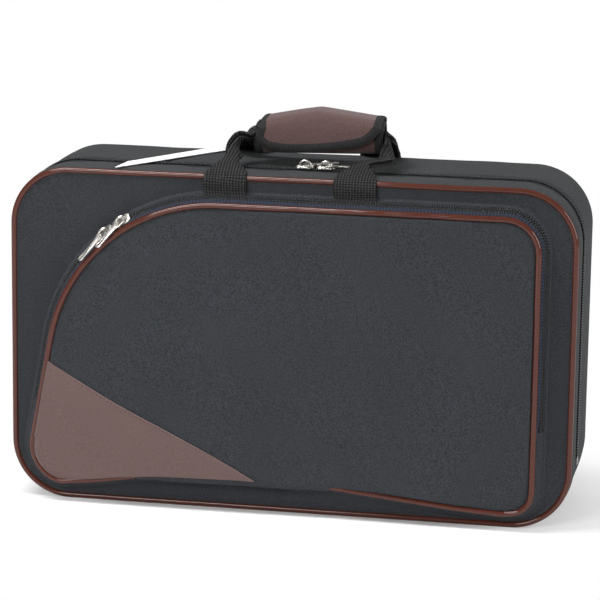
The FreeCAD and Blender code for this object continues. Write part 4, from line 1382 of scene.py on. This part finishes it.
# The sections of the padded walls, as (outward, y).
REAR_WALL = [(-1.7, -13.5), (-2.2, -15.0), (-4, -15.4), (-10, -15.4), (-11.8, -14.6), (-12.2, -13),
             (-12.2, 14), (-12.2, 41), (-11, 48), (-1.7, 48), (-1.7, 18)]
LID_WALL = [(-1.7, -18.5), (-2.2, -17.0), (-4, -16.6), (-10, -16.6), (-11.8, -17.4), (-12.2, -19),
            (-12.2, -30), (-12.2, -40.5), (-11, -47.5), (-1.7, -47.5), (-1.7, -32)]


def plush_wall(name, profile, body, *nodes):
    wall = band(name, case_edge, profile, spacing=5)
    return finish_piece(wall, plush, body, *nodes)


def plush_floor(name, y, towards, body, *nodes):
    """A padded floor, crowned a little between its edges."""

    def floor_height(x, z, deep):
        return y - towards * 0.9 * (1 - math.exp(-(deep - FLOOR_INSET) / 9))

    floor = panel(name, case_edge, FLOOR_INSET, floor_height, columns=60, rows=36)
    thicken(floor, 1.6, faces_back=towards < 0)
    return finish_piece(floor, plush, body, *nodes)


plush_wall("rear_plush_walls", REAR_WALL, "base", "base_foam_shell")
plush_floor("rear_plush_floor", 41.4, 1, "base", "base_lining")
plush_wall("lid_plush_walls", LID_WALL, "lid", "lid_foam_shell")
plush_floor("lid_plush_floor", -40.8, -1, "lid", "lid_lining")


def plush_block(name, node, body, soften=2.2):
    """A padded block with soft edges, as large as the solid that it stands for."""
    low, high = (Vector(corner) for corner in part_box(node))
    bpy.ops.mesh.primitive_cube_add(size=1, location=(low + high) / 2, scale=high - low)
    piece = bpy.context.active_object
    piece.name = name
    place(piece)
    modify(piece, "BEVEL", width=soften * MM, segments=4, limit_method="NONE")
    smooth(piece, 60)
    return finish_piece(piece, plush, body, node)


for node in ("row_divider_1", "row_divider_2", "row_divider_3", "column_divider",
             "bell_divider_lower", "bell_divider_upper"):
    plush_block(f"{node}_plush", node, "base")
plush_block("accessory_lid_plush", "accessory_lid", "accessory_lid", 1.6)
paint("accessory_lid_tab", webbing)


# Floor, light and camera, with places and sizes in metres

WHITE_FROM, WHITE_TO = 0.13, 0.30


def pale_floor():
    """Paper that takes the case's shadow near it and is plain white farther off."""
    bpy.ops.mesh.primitive_plane_add(size=14, location=(0, 2, 0))
    floor = bpy.context.active_object
    floor.name = "pale_floor"
    place(floor)
    material, tree, shader = new_material("pale_floor_paper")
    shader.inputs["Base Color"].default_value = (0.95, 0.95, 0.95, 1)
    shader.inputs["Roughness"].default_value = 0.9
    shader.inputs["Specular IOR Level"].default_value = 0.1
    coordinates = add(tree, "ShaderNodeTexCoord").outputs["Object"]
    squeezed = add(tree, "ShaderNodeVectorMath", {0: coordinates, 1: (1.0, 1.3, 1.0)}, operation="MULTIPLY")
    reach = add(tree, "ShaderNodeVectorMath", {0: squeezed.outputs[0]}, operation="LENGTH")
    away = add(tree, "ShaderNodeMapRange",
               {"Value": reach.outputs["Value"], "From Min": WHITE_FROM, "From Max": WHITE_TO})
    rays = add(tree, "ShaderNodeLightPath").outputs
    share = calculate(tree, "MULTIPLY", away.outputs[0], rays["Is Camera Ray"])
    white = add(tree, "ShaderNodeEmission", {"Color": (1, 1, 1, 1), "Strength": 1.0})
    paper = add(tree, "ShaderNodeMixShader", {0: share, 1: shader.outputs[0], 2: white.outputs[0]})
    output = next(node for node in tree.nodes if node.bl_idname == "ShaderNodeOutputMaterial")
    tree.links.new(paper.outputs[0], output.inputs["Surface"])
    floor.data.materials.append(material)


def soft_light(name, place_at, aim, size, power):
    data = bpy.data.lights.new(name, "AREA")
    data.shape = "RECTANGLE"
    data.size, data.size_y = size
    data.energy = power
    lamp = bpy.data.objects.new(name, data)
    bpy.context.scene.collection.objects.link(lamp)
    lamp.location = place_at
    lamp.rotation_euler = (Vector(aim) - Vector(place_at)).to_track_quat("-Z", "Y").to_euler()


def white_world(strength):
    """A white background that lights the case at a strength of its own."""
    world = bpy.data.worlds.new("studio")
    bpy.context.scene.world = world
    world.use_nodes = True
    tree = world.node_tree
    tree.nodes.clear()
    rays = add(tree, "ShaderNodeLightPath").outputs
    seen = calculate(tree, "MAXIMUM", rays["Is Camera Ray"], rays["Is Transmission Ray"])
    level = add(tree, "ShaderNodeMapRange", {"Value": seen, "To Min": strength, "To Max": 1.0})
    background = add(tree, "ShaderNodeBackground", {"Color": (1, 1, 1, 1), "Strength": level.outputs[0]})
    add(tree, "ShaderNodeOutputWorld", {"Surface": background.outputs[0]})


pale_floor()
soft_light("overhead_light", (-0.63, -0.34, 1.5), (-0.63, -0.34, 0), (0.95, 0.36), 24)
soft_light("front_light", (-0.8, -2.2, 1.3), (0, 0, 0.12), (0.9, 0.6), 25)
soft_light("side_light", (1.8, -0.3, 0.8), (0.1, 0, 0.15), (0.9, 1.1), 22)
white_world(0.26)

# The photograph's viewing angle, as the camera's own axes and its place.
CAMERA_RIGHT = (0.981907, 0.188907, 0.013139)
CAMERA_UP = (-0.054187, 0.213813, 0.975371)
CAMERA_BACK = (0.181445, -0.958435, 0.220181)
CAMERA_PLACE = (0.377007, -2.002181, 0.603784)
CAMERA_LENS = 174.2
camera_data = bpy.data.cameras.new("camera")
camera_data.lens = CAMERA_LENS
camera_data.sensor_width = 36
camera_data.clip_end = 50
camera = bpy.data.objects.new("camera", camera_data)
bpy.context.scene.collection.objects.link(camera)
camera.matrix_world = Matrix((CAMERA_RIGHT, CAMERA_UP, CAMERA_BACK)).transposed().to_4x4()
camera.location = CAMERA_PLACE
bpy.context.scene.camera = camera

bpy.context.scene.view_settings.view_transform = "Standard"
